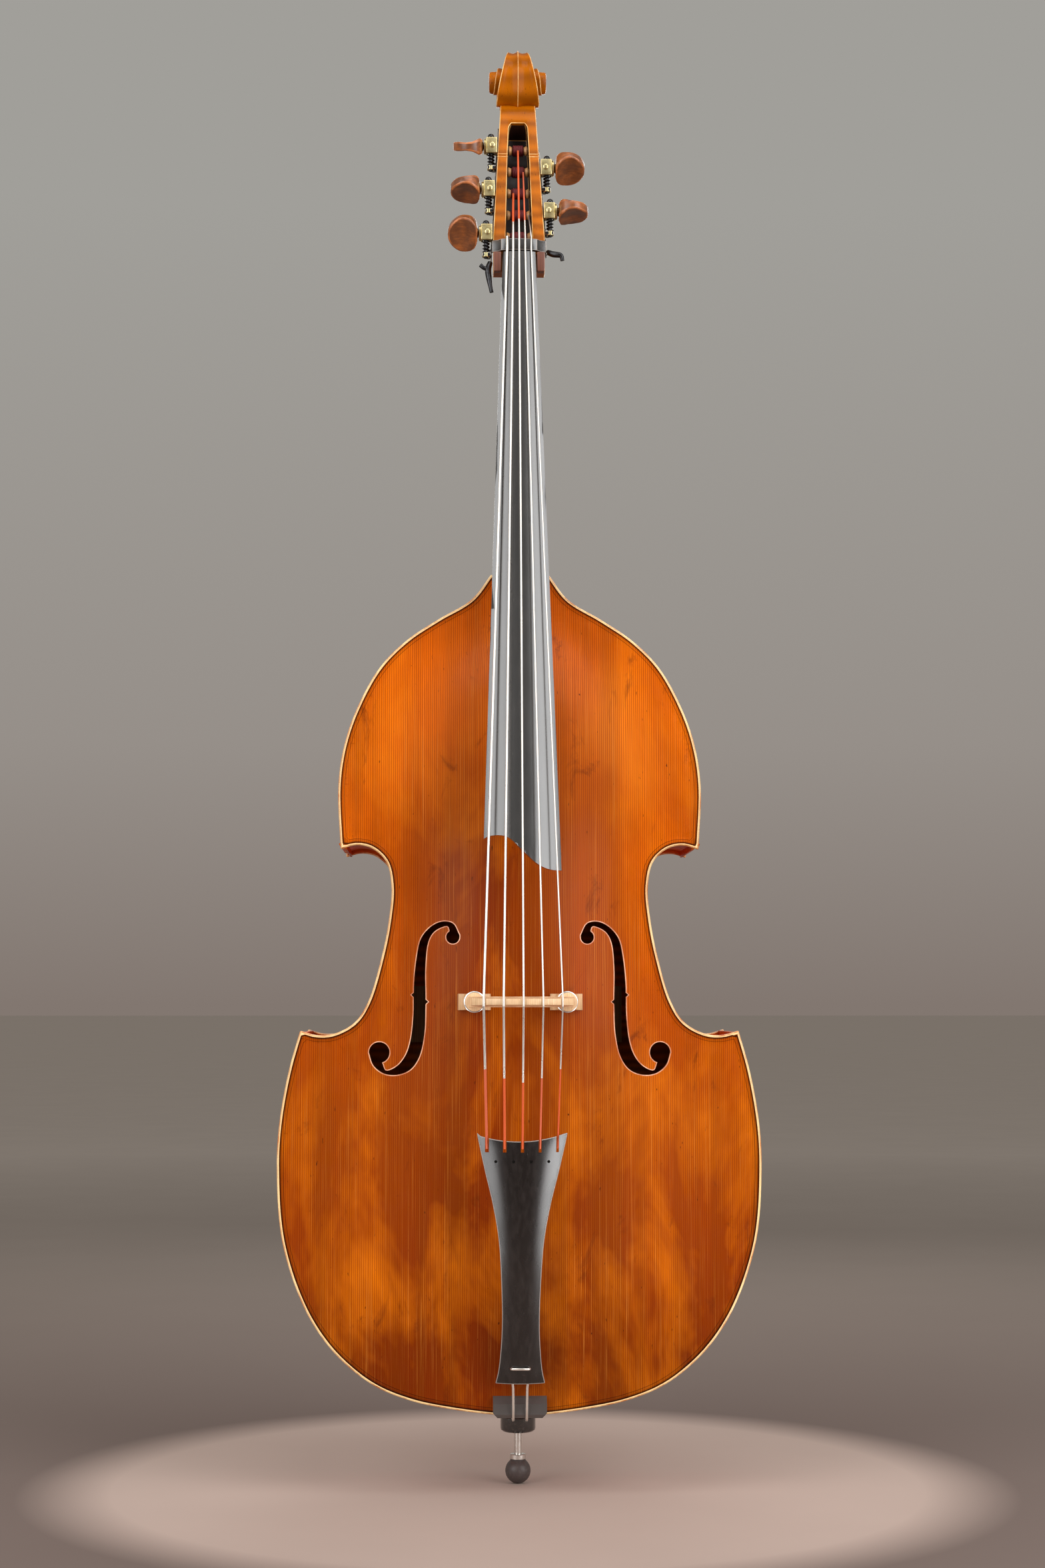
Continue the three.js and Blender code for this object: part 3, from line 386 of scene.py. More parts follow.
def times(colour, share):
    """A screen colour made darker or brighter, channel by channel."""
    return paint(*[min(255, int(c * share)) for c in colour])


class Recipe:
    """A material under the brush: each call adds one node and gives back its output."""

    def __init__(self, name, **values):
        self.material = bpy.data.materials.new(name)
        self.material.use_nodes = True
        self.tree = self.material.node_tree
        self.shader = self.tree.nodes["Principled BSDF"]
        for socket, value in values.items():
            self.set(socket.replace("_", " "), value)

    def set(self, socket, value, node=None):
        place = (node or self.shader).inputs[socket]
        if isinstance(value, bpy.types.NodeSocket):
            self.tree.links.new(value, place)
        else:
            place.default_value = value

    def add(self, kind, inputs, output=0, **settings):
        node = self.tree.nodes.new("ShaderNode" + kind)
        for name, value in settings.items():
            setattr(node, name, value)
        for socket, value in inputs.items():
            self.set(socket, value, node)
        return node.outputs[output]

    def place(self, scale=(1, 1, 1), shift=(0, 0, 0)):
        spot = self.add("TexCoord", {}, "Object")
        return self.add("Mapping", {"Vector": spot, "Scale": scale, "Location": shift})

    def noise(self, scale, detail=3, rough=0.5, warp=0, shift=(0, 0, 0)):
        spot = self.place(scale, shift)
        wants = {"Vector": spot, "Scale": 1, "Detail": detail, "Roughness": rough, "Distortion": warp}
        return self.add("TexNoise", wants)

    def waves(self, scale, warp, detail, size, axis="X"):
        wants = {"Vector": self.place(scale), "Scale": size, "Distortion": warp, "Detail": detail}
        return self.add("TexWave", wants, 1, bands_direction=axis)

    def ramp(self, factor, *stops):
        out = self.add("ValToRGB", {"Fac": factor})
        row = out.node.color_ramp.elements
        while len(row) < len(stops):
            row.new(0.5)
        for element, (place, colour) in zip(row, stops):
            element.position = place
            element.color = colour if isinstance(colour, tuple) else grey(colour)
        return out

    def mix(self, factor, a, b, blend="MIX"):
        return self.add("Mix", {0: factor, 6: a, 7: b}, 2, data_type="RGBA", blend_type=blend)

    def reckon(self, kind, a, b=0.0):
        return self.add("Math", {0: a, 1: b}, operation=kind)

    def attribute(self, name):
        """A number stored on the piece's own points."""
        return self.add("Attribute", {}, "Fac", attribute_name=name)

    def along(self, axis):
        """How far along an axis a point lies, in metres."""
        spot = self.add("TexCoord", {}, "Object")
        return self.add("SeparateXYZ", {"Vector": spot}, axis)

    def bump(self, height, distance, strength=1):
        wants = {"Height": height, "Distance": distance, "Strength": strength}
        self.set("Normal", self.add("Bump", wants))

    def varied(self, low, high, scale=(60, 60, 60)):
        """Roughness that wanders between two values."""
        self.set("Roughness", self.ramp(self.noise(scale, 4), (0.3, low), (0.7, high)))


def varnished_spruce():
    r = Recipe("varnished_spruce", Coat_Weight=0.05, Coat_Roughness=0.12, Specular_IOR_Level=0.07)
    x, z = r.along("X"), r.along("Z")
    # Brightest on the upper bouts, and darkest at the bottom
    along = r.ramp(
        r.reckon("MULTIPLY", z, 0.87),
        (0.0, paint(92, 32, 1)), (0.1, paint(122, 46, 1)), (0.2, paint(146, 58, 1)),
        (0.34, paint(170, 74, 1)), (0.46, paint(196, 84, 2)), (0.54, paint(210, 92, 2)),
        (0.66, paint(242, 110, 1)), (0.84, paint(250, 116, 1)), (1.0, paint(226, 96, 1)),
    )
    # Under the strings, a little left of the middle, a painted shadow darkens it further
    off_centre = r.reckon("ABSOLUTE", r.reckon("ADD", x, 0.035))
    middle = r.ramp(off_centre, (0.0, 1.0), (0.06, 0.8), (0.13, 0.25), (0.2, 0.0))
    below = r.ramp(z, (0.0, 1.0), (0.78, 1.0), (0.92, 0.15), (1.0, 0.1))
    under_strings_shadowed = r.mix(r.reckon("MULTIPLY", middle, below), along, paint(126, 46, 2))
    shade = r.ramp(r.noise((5, 5, 2.6), 5, 0.62, 0.5), (0.36, 0.0), (0.66, 1.0))
    toned = r.mix(r.reckon("MULTIPLY", shade, 0.5), under_strings_shadowed, paint(134, 52, 2))
    glow = r.ramp(r.noise((9, 9, 4), 4, 0.6, 0.4, shift=(3, 1, 2)), (0.48, 0.0), (0.72, 0.6))
    glowing = r.mix(glow, toned, paint(252, 134, 10))
    bands = r.ramp(r.noise((26, 4, 0.6), 3, 0.5), (0.44, 0.0), (0.62, 1.0))
    banded = r.mix(r.reckon("MULTIPLY", bands, 0.3), glowing, paint(118, 62, 4))
    grain = r.waves((1, 1, 0.008), 3.5, 3, 112)
    dark = r.mix(r.reckon("MULTIPLY", grain, 0.5), banded, paint(112, 30, 0))
    pale = r.ramp(r.noise((900, 30, 4), 3, 0.6), (0.58, 0.0), (0.74, 0.3))
    light = r.mix(pale, dark, paint(255, 168, 70))
    blotch = r.ramp(r.noise((26, 26, 11), 5, 0.7, 0.6), (0.6, 0.0), (0.74, 0.7))
    blotched = r.mix(blotch, light, paint(96, 34, 4))
    specks = r.ramp(r.noise((240, 240, 60), 2, 0.7), (0.71, 0.0), (0.76, 0.8))
    spotted = r.mix(specks, blotched, paint(66, 22, 4))
    # Inside the edge, which is rubbed bare, run a dark inlaid line and a fainter one
    edge = r.reckon("DIVIDE", r.attribute("edge"), 40)
    lines = r.ramp(
        edge, (0.0, 1.0), (0.075, 1.0), (0.088, 0.12), (0.115, 0.12), (0.135, 0.7), (0.2, 1.0),
        (0.208, 0.5), (0.225, 0.5), (0.235, 1.0),
    )
    lined = r.mix(1.0, spotted, lines, "MULTIPLY")
    bare = r.ramp(edge, (0.0, 1.0), (0.068, 1.0), (0.08, 0.0))
    r.set("Base Color", r.mix(bare, lined, paint(250, 216, 156)))
    r.varied(0.3, 0.46)
    r.bump(r.reckon("ADD", r.reckon("MULTIPLY", grain, 0.4), r.noise((220, 220, 6), 4)), 0.00012, 0.5)
    return r.material


def varnished_maple(name="varnished_maple", tint=(196, 92, 16), dark=(112, 44, 8), stripe=(9, 9, 46)):
    """Flamed maple: bright and dark stripes across the grain, under a coat of varnish."""
    r = Recipe(name, Coat_Weight=0.06, Coat_Roughness=0.06, Specular_IOR_Level=0.06)
    flame = r.waves(stripe, 7, 3, 0.5, "Z")
    patches = r.ramp(r.noise((6, 6, 6), 4, 0.55), (0.3, 0.0), (0.7, 1.0))
    base = r.mix(patches, paint(*tint), times(tint, 1.22))
    striped = r.mix(r.reckon("MULTIPLY", flame, 0.5), base, paint(*dark))
    pores = r.ramp(r.noise((500, 500, 22), 3, 0.6), (0.62, 0.0), (0.72, 0.5))
    r.set("Base Color", r.mix(pores, striped, times(dark, 0.5)))
    r.varied(0.24, 0.4)
    r.bump(r.noise((300, 300, 12), 3), 0.0001, 0.6)
    return r.material


def worn_edge(name="worn_edge", tint=(244, 206, 146), under=(196, 112, 44)):
    """Varnish rubbed through to the wood along an edge."""
    r = Recipe(name, Roughness=0.4, Coat_Weight=0.2, Coat_Roughness=0.2)
    rubbed = r.ramp(r.noise((60, 60, 16), 5, 0.65), (0.36, 0.0), (0.6, 1.0))
    r.set("Base Color", r.mix(rubbed, paint(*under), paint(*tint)))
    r.bump(r.noise((400, 400, 60), 3), 0.0001, 0.6)
    return r.material


def raw_wood(name, tint, dark, gloss=0.0, scale=(160, 160, 9)):
    """Plain wood with growth lines and darker flecks."""
    r = Recipe(name, Coat_Weight=gloss, Coat_Roughness=0.2)
    grain = r.waves((1, 1, 0.05), 6, 3, scale[0] * 0.5)
    flecks = r.ramp(r.noise(scale, 4, 0.6), (0.35, 0.0), (0.7, 1.0))
    base = r.mix(r.reckon("MULTIPLY", grain, 0.4), paint(*tint), paint(*dark))
    r.set("Base Color", r.mix(r.reckon("MULTIPLY", flecks, 0.35), base, times(dark, 0.75)))
    r.varied(0.4, 0.6)
    r.bump(r.noise((400, 400, 20), 4), 0.00015, 0.6)
    return r.material


def ebony(name="ebony", tint=(26, 23, 23), rough=(0.2, 0.27), gloss=0.85):
    """Near-black polished wood, with dust-grey streaks along the grain."""
    r = Recipe(name, Coat_Weight=gloss, Coat_Roughness=0.24, Coat_IOR=1.65, Specular_IOR_Level=gloss)
    streaks = r.ramp(r.noise((150, 150, 3), 5, 0.6), (0.42, 0.0), (0.75, 1.0))
    base = r.mix(r.reckon("MULTIPLY", streaks, 0.35), paint(*tint), paint(62, 56, 54))
    marks = r.ramp(r.noise((520, 520, 26), 2, 0.6), (0.72, 0.0), (0.8, 0.4))
    r.set("Base Color", r.mix(marks, base, paint(120, 114, 110)))
    r.varied(*rough, scale=(60, 60, 8))
    r.bump(r.noise((500, 500, 10), 4), 0.00002, 0.4)
    return r.material


def metal(name, tint, rough, spots=None):
    """Metal that has gone duller and darker in patches."""
    r = Recipe(name, Metallic=1.0)
    tarnish = r.ramp(r.noise((130, 130, 130), 5, 0.65), (0.4, 0.0), (0.72, 1.0))
    r.set("Base Color", r.mix(tarnish, paint(*tint), paint(*(spots or [c * 3 // 5 for c in tint]))))
    r.varied(rough, rough + 0.12, (200, 200, 200))
    r.bump(r.noise((700, 700, 700), 3), 0.00001, 0.3)
    return r.material


def wound_steel():
    """A string wrapped with fine wire."""
    r = Recipe("wound_steel", Metallic=0.85)
    winding = r.waves((1, 1, 1), 0, 0, 640, "Z")
    dull = r.reckon("MULTIPLY", winding, 0.2)
    r.set("Base Color", r.mix(dull, paint(232, 226, 218), paint(176, 168, 160)))
    r.varied(0.26, 0.34)
    r.bump(winding, 0.00001, 0.3)
    return r.material


def silk(name, tint):
    """Coloured thread wrapped round a string's ends."""
    r = Recipe(name, Roughness=0.62)
    thread = r.waves((1, 1, 1), 0.4, 1, 420, "Z")
    shade = paint(*[c * 3 // 5 for c in tint])
    r.set("Base Color", r.mix(r.reckon("MULTIPLY", thread, 0.6), paint(*tint), shade))
    r.bump(thread, 0.00003, 0.5)
    return r.material


def key_wood():
    """Brown keys, reddish where fingers have polished them."""
    r = Recipe("key_wood", Coat_Weight=0.35, Coat_Roughness=0.2)
    grain = r.ramp(r.noise((60, 400, 400), 4, 0.6, 0.6), (0.35, 0.0), (0.68, 1.0))
    warm = r.ramp(r.noise((46, 46, 46), 3), (0.42, 0.0), (0.66, 1.0))
    base = r.mix(warm, paint(116, 66, 34), paint(172, 96, 42))
    r.set("Base Color", r.mix(r.reckon("MULTIPLY", grain, 0.5), base, paint(72, 36, 18)))
    r.varied(0.28, 0.46)
    r.bump(r.noise((180, 700, 700), 4), 0.00015, 0.6)
    return r.material


def smooth_black(name, tint, rough, coat):
    """Paint or rubber with a little dust on it, and the pale painted highlight on ebony edges."""
    r = Recipe(name, Coat_Weight=coat, Coat_Roughness=0.06)
    dust = r.ramp(r.noise((240, 240, 240), 4, 0.6), (0.5, 0.0), (0.8, 0.3))
    r.set("Base Color", r.mix(dust, paint(*tint), paint(120, 110, 104)))
    r.varied(rough, rough + 0.12)
    r.bump(r.noise((200, 200, 200), 3), 0.00001, 0.4)
    return r.material


SPRUCE = varnished_spruce()
EDGE = worn_edge()
HOLE_EDGE = worn_edge("worn_hole_edge", (236, 176, 138), (188, 104, 62))
MAPLE = varnished_maple()
HEAD_MAPLE = varnished_maple("head_maple", (160, 86, 4), (92, 42, 2), (9, 9, 30))
HEAD_EDGE = worn_edge("worn_head_edge", (236, 188, 116), (190, 116, 40))
# The string hollow's near-black brown is painted shade for the recess
HOLLOW_SHADE = raw_wood("head_hollow_shade", (58, 28, 14), (30, 15, 9))
# Red-brown varnish colour, darkened: painted shade for the cheek ends' shaded underside
SHADED_BLOCK_RED = raw_wood("cheek_block_shaded_wood", (120, 64, 42), (72, 34, 22), 0.3)
BARE = raw_wood("bare_wood", (206, 158, 104), (150, 102, 60))
BRIDGE_WOOD = raw_wood("bridge_maple", (243, 205, 160), (214, 162, 112), 0.15, (260, 60, 60))
BRIDGE_LOW = raw_wood("bridge_leg_wood", (222, 176, 126), (176, 126, 82), 0.1, (260, 60, 60))
EBONY = ebony()
TAIL_EBONY = ebony("tail_ebony", (18, 14, 13), (0.24, 0.3), 0.35)
# The saddle's ebony is a paler grey than the rest: a painted highlight for the light on its bevels
SADDLE_EBONY = ebony("saddle_ebony", (70, 64, 62), (0.3, 0.4), 0.6)
# Ebony edges in pale grey: a painted highlight along the bevels
EBONY_EDGE_HIGHLIGHT = smooth_black("ebony_edge_highlight", (150, 142, 136), 0.3, 0.3)
STEEL = metal("black_steel", (70, 70, 72), 0.26, (38, 36, 36))
STEEL_EDGE = metal("rubbed_steel_edge", (176, 168, 158), 0.28)
BRASS = metal("brass", (214, 200, 152), 0.26, (190, 168, 112))
BRASS_DARK = metal("tarnished_brass", (120, 98, 60), 0.34, (60, 50, 40))
KEY = key_wood()
KEY_RIM = worn_edge("key_rim", (190, 112, 62), (112, 62, 34))
ALUMINIUM = metal("aluminium", (226, 222, 216), 0.26, (216, 212, 208))
WOUND = wound_steel()
GLOSS = smooth_black("black_gloss", (12, 11, 12), 0.1, 1.0)
RUBBER = smooth_black("rubber", (72, 62, 60), 0.5, 0.1)
THREAD_RED = silk("red_thread", (112, 26, 30))
THREAD_ORANGE = silk("orange_thread", (232, 92, 34))
THREAD_SALMON = silk("salmon_thread", (228, 104, 66))
ROLLER_WOOD = raw_wood("roller_wood", (206, 152, 92), (150, 100, 54), 0.2)


# ---- Body

def body_outline(steps=9, button=False):
    """A plate's outline, from the neck down the right side and up the left."""
    right = smooth_line(UPPER_BOUT, steps)
    right += smooth_line(WAIST, steps)[1:] + smooth_line(LOWER_BOUT, steps)[1:]
    if button:
        right = arc(0, BUTTON_TOP - BUTTON_RADIUS, BUTTON_RADIUS, 90, 0, 6) + right
    else:
        right = [Vector((0, BODY_TOP))] + right
    left = [Vector((-p.x, p.y)) for p in reversed(right[1:-1])]
    return right + left


def offset_line(line, distance):
    """The same line, moved sideways to its left by a distance."""
    moved = []
    for i, p in enumerate(line):
        ahead = (line[min(i + 1, len(line) - 1)] - line[max(i - 1, 0)]).normalized()
        moved.append(p + Vector((-ahead.y, ahead.x)) * distance)
    return moved


def hole_outline():
    """One sound hole's outline: two round eyes and the stem between them, with its two small notches."""
    outer = smooth_line(STEM_OUTER[:7] + [(143.6, NOTCH_OUTER + 3)], 5)
    outer += [Vector((147, NOTCH_OUTER))]
    outer += smooth_line([(143.8, NOTCH_OUTER - 3)] + STEM_OUTER[7:] + [(186, 471)], 5)[:-1]
    inner = smooth_line(STEM_INNER[:7] + [(127.6, NOTCH_INNER - 3)], 5)
    inner += [Vector((124, NOTCH_INNER))]
    inner += smooth_line([(127.6, NOTCH_INNER + 3)] + STEM_INNER[8:], 5)[:-1]
    low = arc(*LOWER_EYE, -107, -360, 22)[:-1]
    high = arc(*UPPER_EYE, 60, -195, 20)[:-1]
    return outer + low + inner + high


def distance_to(points, line):
    """How far each point is from a closed line, exactly."""
    a = np.array([tuple(p) for p in line])
    step = np.roll(a, -1, axis=0) - a
    length = np.maximum((step ** 2).sum(1), 1e-9)
    best = np.full(len(points), 1e9)
    for start, go, size in zip(a, step, length):
        along = np.clip(((points - start) @ go) / size, 0, 1)
        best = np.minimum(best, np.hypot(*(points - start - along[:, None] * go).T))
    return best


def arch_height(points, outline):
    """How far the plate bulges at each (x, z): nothing at the edge, all of it along the middle."""
    line = np.array([tuple(p) for p in outline])
    reach = np.zeros(len(points))
    size = np.hypot(*(np.roll(line, -1, axis=0) - line).T)
    for p, s in zip(line, size):
        reach += s * np.exp(-np.hypot(*(points - p).T) / ARCH_SPREAD)
    smooth_distance = -ARCH_SPREAD * np.log(np.maximum(reach, 1e-30) / (2 * ARCH_SPREAD))
    inside = np.maximum(smooth_distance - ARCH_START, 0)
    over = np.maximum(points[:, 1] - SPINE_HIGH, 0) + np.maximum(SPINE_LOW - points[:, 1], 0)
    spine = np.hypot(points[:, 0], over)
    share = inside / np.maximum(inside + spine, 1e-6)
    return ARCH_RISE * np.sin(np.pi / 2 * share) ** 1.6


def top_height(x, z):
    return float(arch_height(np.array([[x, z]]), body_outline())[0])


def flat_top(outline, holes, bands):
    """The top before it is arched: a slab with a rounded edge, open at the two sound holes."""
    front, inside = -PLATE_Y, -PLATE_Y + TOP_THICK
    bm = slab(bmesh.new(), outline, front, inside, along_y)
    soften(bm, 2.4, 3, 60, material=1)
    for f in bm.faces:
        if len(f.verts) < 60:
            f.material_index = 1
    for level, openings in ((front, bands), (inside, holes)):
        sheets = [f for f in bm.faces if abs(f.calc_center_median().y - level) < 0.5]
        flat = max(sheets, key=lambda f: len(f.verts))
        edges = list(flat.edges)
        bmesh.ops.delete(bm, geom=[flat], context="FACES_ONLY")
        for opening in openings:
            edges += draw(bm, [Vector((p.x, level, p.y)) for p in opening])[1]
        bmesh.ops.triangle_fill(bm, use_beauty=True, edges=edges)
    for band, hole in zip(bands, holes):
        rows = [open_edges(bm, loop, level) for loop, level in ((band, front), (hole, front), (hole, inside))]
        for a, b in zip(rows, rows[1:]):
            for f in bmesh.ops.bridge_loops(bm, edges=a + b)["faces"]:
                f.material_index = 2
    return bm


def open_edges(bm, loop, level):
    """The open edges along a loop at a level, drawn new where there are none."""
    places = {(round(p.x, 3), round(p.y, 3)) for p in loop}

    def on_loop(v):
        return abs(v.co.y - level) < 0.01 and (round(v.co.x, 3), round(v.co.z, 3)) in places

    found = [e for e in bm.edges if len(e.link_faces) < 2 and all(on_loop(v) for v in e.verts)]
    return found or draw(bm, [Vector((p.x, level, p.y)) for p in loop])[1]


def cut_in_cells(bm):
    """Cuts the flat faces into a square grid, and takes away the edges that are not on it."""
    side = PLATE_CELL * 41
    cut_across(bm, X, range(-side, side + 1, PLATE_CELL), 0.02)
    cut_across(bm, Z, range(PLATE_CELL, PLATE_CELL * 141 + 1, PLATE_CELL), 0.02)

    def on_grid(e):
        a, b = (v.co for v in e.verts)
        if abs(a.x - b.x) < 0.01 and abs((a.x + side) % PLATE_CELL) < 0.02:
            return True
        return abs(a.z - b.z) < 0.01 and abs(a.z % PLATE_CELL) < 0.02

    loose = [
        e for e in bm.edges
        if len(e.link_faces) == 2 and not on_grid(e) and not any(f.material_index for f in e.link_faces)
        and all(abs(abs(f.normal.y) - 1) < 0.001 for f in e.link_faces)
    ]
    bmesh.ops.dissolve_edges(bm, edges=loose, use_verts=False, use_face_split=False)


def top_plate():
    outline = body_outline()
    holes = [[Vector((s * p.x, p.y)) for p in hole_outline()] for s in (1, -1)]
    bands = [offset_line(h + h[:1], HOLE_BAND * s)[:-1] for s, h in zip((1, -1), holes)]
    bm = flat_top(outline, holes, bands)
    cut_in_cells(bm)
    spots = np.array([(v.co.x, v.co.z) for v in bm.verts])
    edge = distance_to(spots, outline)
    channel = CHANNEL_DEPTH * np.exp(-((edge - CHANNEL_AT) / CHANNEL_WIDTH) ** 2)
    for v, rise in zip(bm.verts, arch_height(spots, outline) - channel):
        v.co.y -= rise
    mesh = mesh_of(bm, "top_plate_wood", crease=55)
    mark = mesh.attributes.new("edge", "FLOAT", "POINT")
    mark.data.foreach_set("value", edge.astype(np.float32))
    piece(mesh, [SPRUCE, EDGE, HOLE_EDGE], "instrument", ["top_plate"])


def back_plate():
    outline = body_outline(button=True)
    bm = slab(bmesh.new(), outline, PLATE_Y - BACK_THICK, PLATE_Y, along_y)
    soften(bm, 2.2, 3, 60, material=1)
    mesh = mesh_of(bm, "back_plate_wood", crease=55)
    piece(mesh, [MAPLE, EDGE], "instrument", ["back_plate"])


def ribs():
    stretches = {"upper": UPPER_BOUT, "waist": WAIST, "lower": LOWER_BOUT}
    for name, stops in stretches.items():
        line = smooth_line(stops, 8)
        outer, inner = offset_line(line, -OVERHANG), offset_line(line, -OVERHANG - RIB_THICK)
        for side, letter in ((-1, "L"), (1, "R")):
            loop = [Vector((side * p.x, p.y)) for p in outer + inner[::-1]]
            bm = slab(bmesh.new(), loop, -RIB_Y, RIB_Y, along_y)
            mesh = mesh_of(bm, f"rib_{name}_{letter}_wood")
            piece(mesh, [MAPLE], "instrument", [f"rib_{name}_{letter}"])


INNER_NODES = [
    "corner_block_lower_L", "corner_block_lower_R", "corner_block_upper_L", "corner_block_upper_R",
    "neck_block", "end_block", "bass_bar", "back_brace", "soundpost",
]


def inner_woodwork():
    for node in INNER_NODES:
        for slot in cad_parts[node].material_slots:
            slot.material = BARE


# ---- Neck, fingerboard and nut

def fingerboard():
    end = []
    for x, z in smooth_line(BOARD_END, 5):
        end.append(Vector((max(-board_half(z), min(board_half(z), x)), z)))
    top = BOARD_NUT_END - BOARD_SEAT
    outline = end + [Vector((board_half(top), top)), Vector((-board_half(top), top))]
    bm = slab(bmesh.new(), outline, 0, BOARD_THICK, along_y)
    soften(bm, 0.9, 2, 50, material=1)
    cut_across(bm, Z, range(760, 1600, 40))
    cut_across(bm, X, range(-50, 51, 5))
    for v in bm.verts:
        x, depth, z = v.co
        radius = 88 - 32 * (z - BOARD_LOW_END) / (BOARD_NUT_END - BOARD_LOW_END)
        front = board_top(z) + radius - math.sqrt(radius * radius - x * x)
        v.co.y = front + (board_bottom(z) - front) * depth / BOARD_THICK
    mesh = mesh_of(bm, "fingerboard_ebony")
    piece(mesh, [EBONY, EBONY_EDGE_HIGHLIGHT], "instrument", ["fingerboard"])


# At each height: how far back the neck goes, how square it is, and how much it narrows to the back
NECK_STATIONS = [
    (1137.3, 94, 7, 0.36), (1158, 94, 7, 0.38), (1162, 70, 6, 0.36), (1170, 15, 5, 0.3),
    (1182, -38, 4, 0.25), (1200, -72, 3, 0.15), (1228, -88, 2.4, 0.05), (1300, -77, 2.1, 0),
    (1440, -50, 2, 0), (1550, -29, 2, 0), (HEAD_LOW - 0.3, -24, 2.1, 0),
]


def neck():
    """A half-round handle behind the board, growing into a squarer heel at the body."""
    rings = []
    for z, back, roundness, taper in smooth_line(NECK_STATIONS, 3):
        front = board_bottom(z) + 0.2
        ring = []
        for i in range(25):
            angle = math.pi * i / 24
            across = math.copysign(abs(math.cos(angle)) ** (2 / roundness), math.cos(angle))
            depth = math.sin(angle) ** (2 / roundness) if 0 < i < 24 else 0
            x = (board_half(z) - 0.8) * across * (1 - taper * depth)
            ring.append(Vector((x, front + (back - front) * depth, z)))
        rings.append(ring)
    bm = loft(bmesh.new(), rings)
    mesh = mesh_of(bm, "neck_maple")
    piece(mesh, [HEAD_MAPLE], "instrument", ["neck"])


def nut():
    half = [(38, -42), (38, -47), (30, -51), (25, -57), (18, -58.6), (0, -60)]
    outline = [Vector(p) for p in half] + [Vector((-x, y)) for x, y in reversed(half[:-1])]
    bm = slab(bmesh.new(), outline, NUT_LOW, NUT_HIGH, along_z)
    soften(bm, 0.8, 2, 30, material=1)
    mesh = mesh_of(bm, "nut_ebony")
    piece(mesh, [EBONY, EBONY_EDGE_HIGHLIGHT], "instrument", ["nut"])


# ---- Head: the pegbox with its cheeks, and the scroll

HEAD_BACK = [
    (80, 1850), (70, 1810), (54, 1760), (38, 1700), (24, 1650), (8, 1622), (-8, 1602), (-24, 1576),
]
HOLLOW_SIDE = [
    (-80, 1624), (-20, 1625), (4, 1640), (28, 1715), (44, 1775), (48, 1800), (-40, 1830), (-80, 1820),
]
HOLLOW_TOP, HOLLOW_ROUND = 1803, 13.4  # the hollow ends in a round arch


def press_sides(bm, half_at):
    """Gives a slab its half width at each height."""
    for v in bm.verts:
        v.co.x = math.copysign(half_at(v.co.z), v.co.x)


def hollow_half(z):
    """The string hollow's half width at each height."""
    if z > HOLLOW_TOP:
        return math.sqrt(max(HOLLOW_ROUND ** 2 - (z - HOLLOW_TOP) ** 2, 0.04))
    return 19 - 3.5 * (z - 1624) / 136 if z < 1760 else 15.5 - 2.1 * (z - 1760) / 43


def cheek_side(z):
    return CHEEK_HALF if z < CHEEK_START else cheek_half(z)


def pegbox_room():
    """The hollow that the rollers cross, as a solid to cut out of the block."""
    room = slab(bmesh.new(), [Vector(p) for p in HOLLOW_SIDE], -1, 1, along_x)
    turns = [math.sin(math.radians(a)) for a in range(12, 90, 13)]
    cut_across(room, Z, [1760, HOLLOW_TOP] + [HOLLOW_TOP + HOLLOW_ROUND * t for t in turns])
    every = room.verts[:] + room.edges[:] + room.faces[:]
    crest = Z * (HOLLOW_TOP + HOLLOW_ROUND - 0.02)
    bmesh.ops.bisect_plane(room, geom=every, dist=0.01, plane_co=crest, plane_no=Z, clear_outer=True)
    bmesh.ops.contextual_create(room, geom=[e for e in room.edges if len(e.link_faces) == 1])
    press_sides(room, hollow_half)
    return mesh_of(room, "pegbox_room")


def near_middle(edge):
    a, b = (v.co for v in edge.verts)
    return abs((a - b).x) < 30


def pegbox():
    front = [(board_bottom(z) + 0.3, z) for z in (HEAD_LOW, NUT_LOW - 0.3)]
    front += [
        (-41.7, NUT_LOW - 0.3), (-41.7, NUT_HIGH + 0.9), (-47, NUT_HIGH + 0.9), (head_front(1832), 1832),
        (30, 1850),
    ]
    side = [Vector(p) for p in front] + smooth_line(HEAD_BACK, 5)
    bm = slab(bmesh.new(), side, -1, 1, along_x)
    cut_across(bm, Z, [CHEEK_START, 1700, 1760])
    press_sides(bm, cheek_side)
    bm = carve(mesh_of(bm, "pegbox_block"), [pegbox_room()], "pegbox")
    # Faces inside the string hollow take the near-black brown of painted shade
    for f in bm.faces:
        x, y, z = f.calc_center_median()
        if abs(x) < 20 and 1624 < z < 1818 and y > head_front(z) + 3:
            f.material_index = 2
    soften(bm, 1.1, 2, 50, material=1, only=near_middle)
    mesh = mesh_of(bm, "pegbox_maple")
    piece(mesh, [HEAD_MAPLE, HEAD_EDGE, HOLLOW_SHADE], "instrument", ["head"])


def cheek_ends():
    """A small red-brown block under the low end of each cheek, its red-brown darkened as painted shade for
    the shaded underside there.
    """
    for side in (-1, 1):
        block = slab(bmesh.new(), [(25, -57), (36, -57), (36, -45), (25, -45)], HEAD_LOW, 1604, along_z)
        bmesh.ops.scale(block, vec=(side, 1, 1), verts=block.verts)
        soften(block, 1.2, 3, 40)
        mesh = mesh_of(block, f"cheek_end_{hand(side)}")
        piece(mesh, [SHADED_BLOCK_RED], "instrument")


def collar():
    """Two fine pale lines carved across each cheek."""
    bm = bmesh.new()
    for side in (-1, 1):
        for z in (1757.6, 1762):
            front, inside, outside = head_front(z) - 0.5, hollow_half(z) - 0.4, cheek_half(z) + 0.5
            plan = [(inside, front), (outside, front), (outside, front + 13), (inside, front + 13)]
            line = slab(bmesh.new(), [(side * x, y) for x, y in plan], z - 0.6, z + 0.6, along_z)
            soften(line, 0.3, 2, 40)
            gather(bm, line)
    mesh = mesh_of(bm, "pegbox_collar")
    piece(mesh, [HEAD_EDGE], "instrument")


